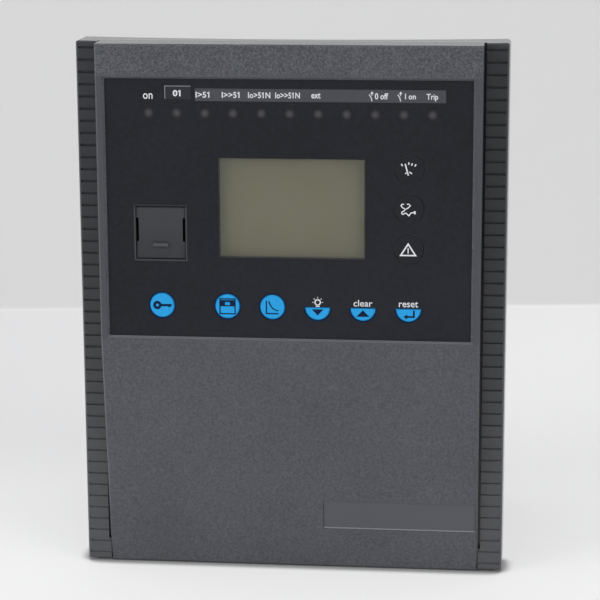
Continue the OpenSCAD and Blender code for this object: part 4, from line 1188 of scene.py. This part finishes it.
def sweep_finish(colours, floor_z):
    """Floor and wall of the studio, each in its own pale tone. For the camera and in gloss
    most of the tone is even, so that broad shadows stay light. That even tone is painted
    lighter in front of the object and towards the right, and a contact shadow is painted
    into it close to what stands on it. Gloss shows a dim room beyond the table's front.
    From its back and from below the sweep is clear."""
    finish = Finish("studio")
    x, y, z = finish.place()
    up = finish.ease(z, floor_z, floor_z + 2 * MM)
    cloud = finish.noise(3, 2.0)
    finish.surface(
        Base_Color=finish.mix(up, tuple(colours.floor), tuple(colours.wall)),
        Roughness=0.75 + 0.1 * cloud,
        Specular_IOR_Level=0.1)
    # Painted light: the even tone is lighter in front of the object and towards the right.
    far = finish.mix(finish.ease(x, *TONE_SPAN_X), srgb(218, 218, 219), srgb(233, 233, 233))
    pale = finish.mix(finish.ease(y, *TONE_SPAN_Y), srgb(248, 248, 248), far)
    # Painted contact shadow: the even tone darkens where something stands close.
    open_sky = Wire(finish, finish.add("ShaderNodeAmbientOcclusion", None,
                                       {"Distance": SHADOW_REACH}).outputs["AO"])
    free = finish.ease(open_sky, *SHADOW_LEVELS).most(y > TONE_SPAN_Y[1])
    pale = finish.mix(free, srgb(80, 80, 80), pale)
    path = finish.add("ShaderNodeLightPath").outputs
    gloss = Wire(finish, path["Is Glossy Ray"])
    room = gloss * finish.ease(0 - y, 0.8 * TABLE_FRONT, 1.2 * TABLE_FRONT)
    tone = finish.mix(room, finish.mix(up, pale, srgb(217, 217, 217)), srgb(60, 60, 62))
    even = finish.add("ShaderNodeEmission", None, {"Color": tone})
    seen = gloss.most(Wire(finish, path["Is Camera Ray"]))
    blend = finish.add("ShaderNodeMixShader", None, {
        0: room.most(seen * EVEN_SHARE), 1: finish.shader.outputs[0], 2: even.outputs[0]})
    back = finish.add("ShaderNodeNewGeometry").outputs["Backfacing"]
    clear = finish.add("ShaderNodeBsdfTransparent")
    whole = finish.add("ShaderNodeMixShader", None, {
        0: back, 1: blend.outputs[0], 2: clear.outputs[0]})
    finish.feed(finish.tree.nodes["Material Output"].inputs["Surface"], whole.outputs[0])
    return finish.material


class RELAY_OT_stage(bpy.types.Operator):
    """Build the pale studio, its soft lamps and the camera"""

    bl_idname = "relay.stage"
    bl_label = "Studio"

    def execute(self, context):
        scene = context.scene
        colours, sizes = scene.relay_colours, scene.relay_sizes
        floor_z = CAD_BOX[0].z
        cove, reach, height = 0.003, 3.0, 2.6
        outline = [(-reach, 0.0)]
        outline += [(WALL_Y - cove + cove * math.sin(math.radians(a)),
                     cove - cove * math.cos(math.radians(a))) for a in range(0, 91, 10)]
        outline.append((WALL_Y, height))
        verts = [(x, y + (WALL_LEAN * x if y > 0 else 0), floor_z + z)
                 for y, z in outline for x in (-reach, reach)]
        faces = [(2 * i, 2 * i + 1, 2 * i + 3, 2 * i + 2) for i in range(len(outline) - 1)]
        mesh = bpy.data.meshes.new("studio_sweep")
        mesh.from_pydata(verts, [], faces)
        mesh.materials.append(sweep_finish(colours, floor_z))
        sweep = bpy.data.objects.new("studio_sweep", mesh)
        scene.collection.objects.link(sweep)

        softbox("top_softbox", sizes.top_light, size=(2.0, 1.8), place=(0, -0.3, 1.6),
                aim=(0, -0.15, 0))
        softbox("left_softbox", sizes.left_light, size=(2.6, 2.6), place=(-3.2, -2.2, 1.4),
                aim=(0, 0, 0))
        softbox("right_softbox", sizes.right_light, size=(2.6, 2.6), place=(3.2, -2.2, 1.4),
                aim=(0, 0, 0))

        world = bpy.data.worlds.new("studio_sky")
        world.use_nodes = True
        maker = NodeMaker(world.node_tree)
        sky = maker.tree.nodes["Background"]
        maker.feed(sky.inputs["Color"], (1, 1, 1))
        maker.feed(sky.inputs["Strength"], sizes.sky)
        backdrop = maker.add("ShaderNodeBackground", None, {"Color": tuple(colours.wall)})
        blend = maker.add("ShaderNodeMixShader", None, {
            0: maker.add("ShaderNodeLightPath").outputs["Is Camera Ray"],
            1: sky.outputs[0], 2: backdrop.outputs[0]})
        maker.feed(maker.tree.nodes["World Output"].inputs["Surface"], blend.outputs[0])
        scene.world = world

        lens = bpy.data.cameras.new("camera")
        lens.sensor_width = 36
        lens.lens = CAMERA_LENS
        lens.clip_start = 0.01
        camera = bpy.data.objects.new("camera", lens)
        right, up = Vector(CAMERA_RIGHT), Vector(CAMERA_UP)
        turn = Matrix((right, up, right.cross(up))).transposed()
        camera.matrix_world = Matrix.Translation(CAMERA_PLACE) @ turn.to_4x4()
        scene.collection.objects.link(camera)
        scene.camera = camera
        scene.view_settings.view_transform = "Standard"
        return {"FINISHED"}


STEPS = (
    RELAY_OT_mouldings, RELAY_OT_front, RELAY_OT_inside, RELAY_OT_legends,
    RELAY_OT_key_signs, RELAY_OT_contacts, RELAY_OT_rear_marks, RELAY_OT_stage,
)


class RELAY_PT_looks(bpy.types.Panel):
    """Lists the relay's operators, colours and sizes"""

    bl_idname = "RELAY_PT_looks"
    bl_label = "Relay"
    bl_space_type = "VIEW_3D"
    bl_region_type = "UI"
    bl_category = "Relay"

    def draw(self, context):
        layout = self.layout
        for group in (context.scene.relay_colours, context.scene.relay_sizes):
            box = layout.box()
            for key in group.__annotations__:
                box.prop(group, key)
        for step in STEPS:
            layout.operator(step.bl_idname)


CLASSES = (RelayColours, RelaySizes, *STEPS, RELAY_PT_looks)


def register():
    for each in CLASSES:
        bpy.utils.register_class(each)
    bpy.types.Scene.relay_colours = PointerProperty(type=RelayColours)
    bpy.types.Scene.relay_sizes = PointerProperty(type=RelaySizes)


def unregister():
    del bpy.types.Scene.relay_sizes
    del bpy.types.Scene.relay_colours
    for each in reversed(CLASSES):
        bpy.utils.unregister_class(each)


def main():
    register()
    for step in STEPS:
        group, name = step.bl_idname.split(".")
        getattr(getattr(bpy.ops, group), name)()


if __name__ == "__main__":
    main()
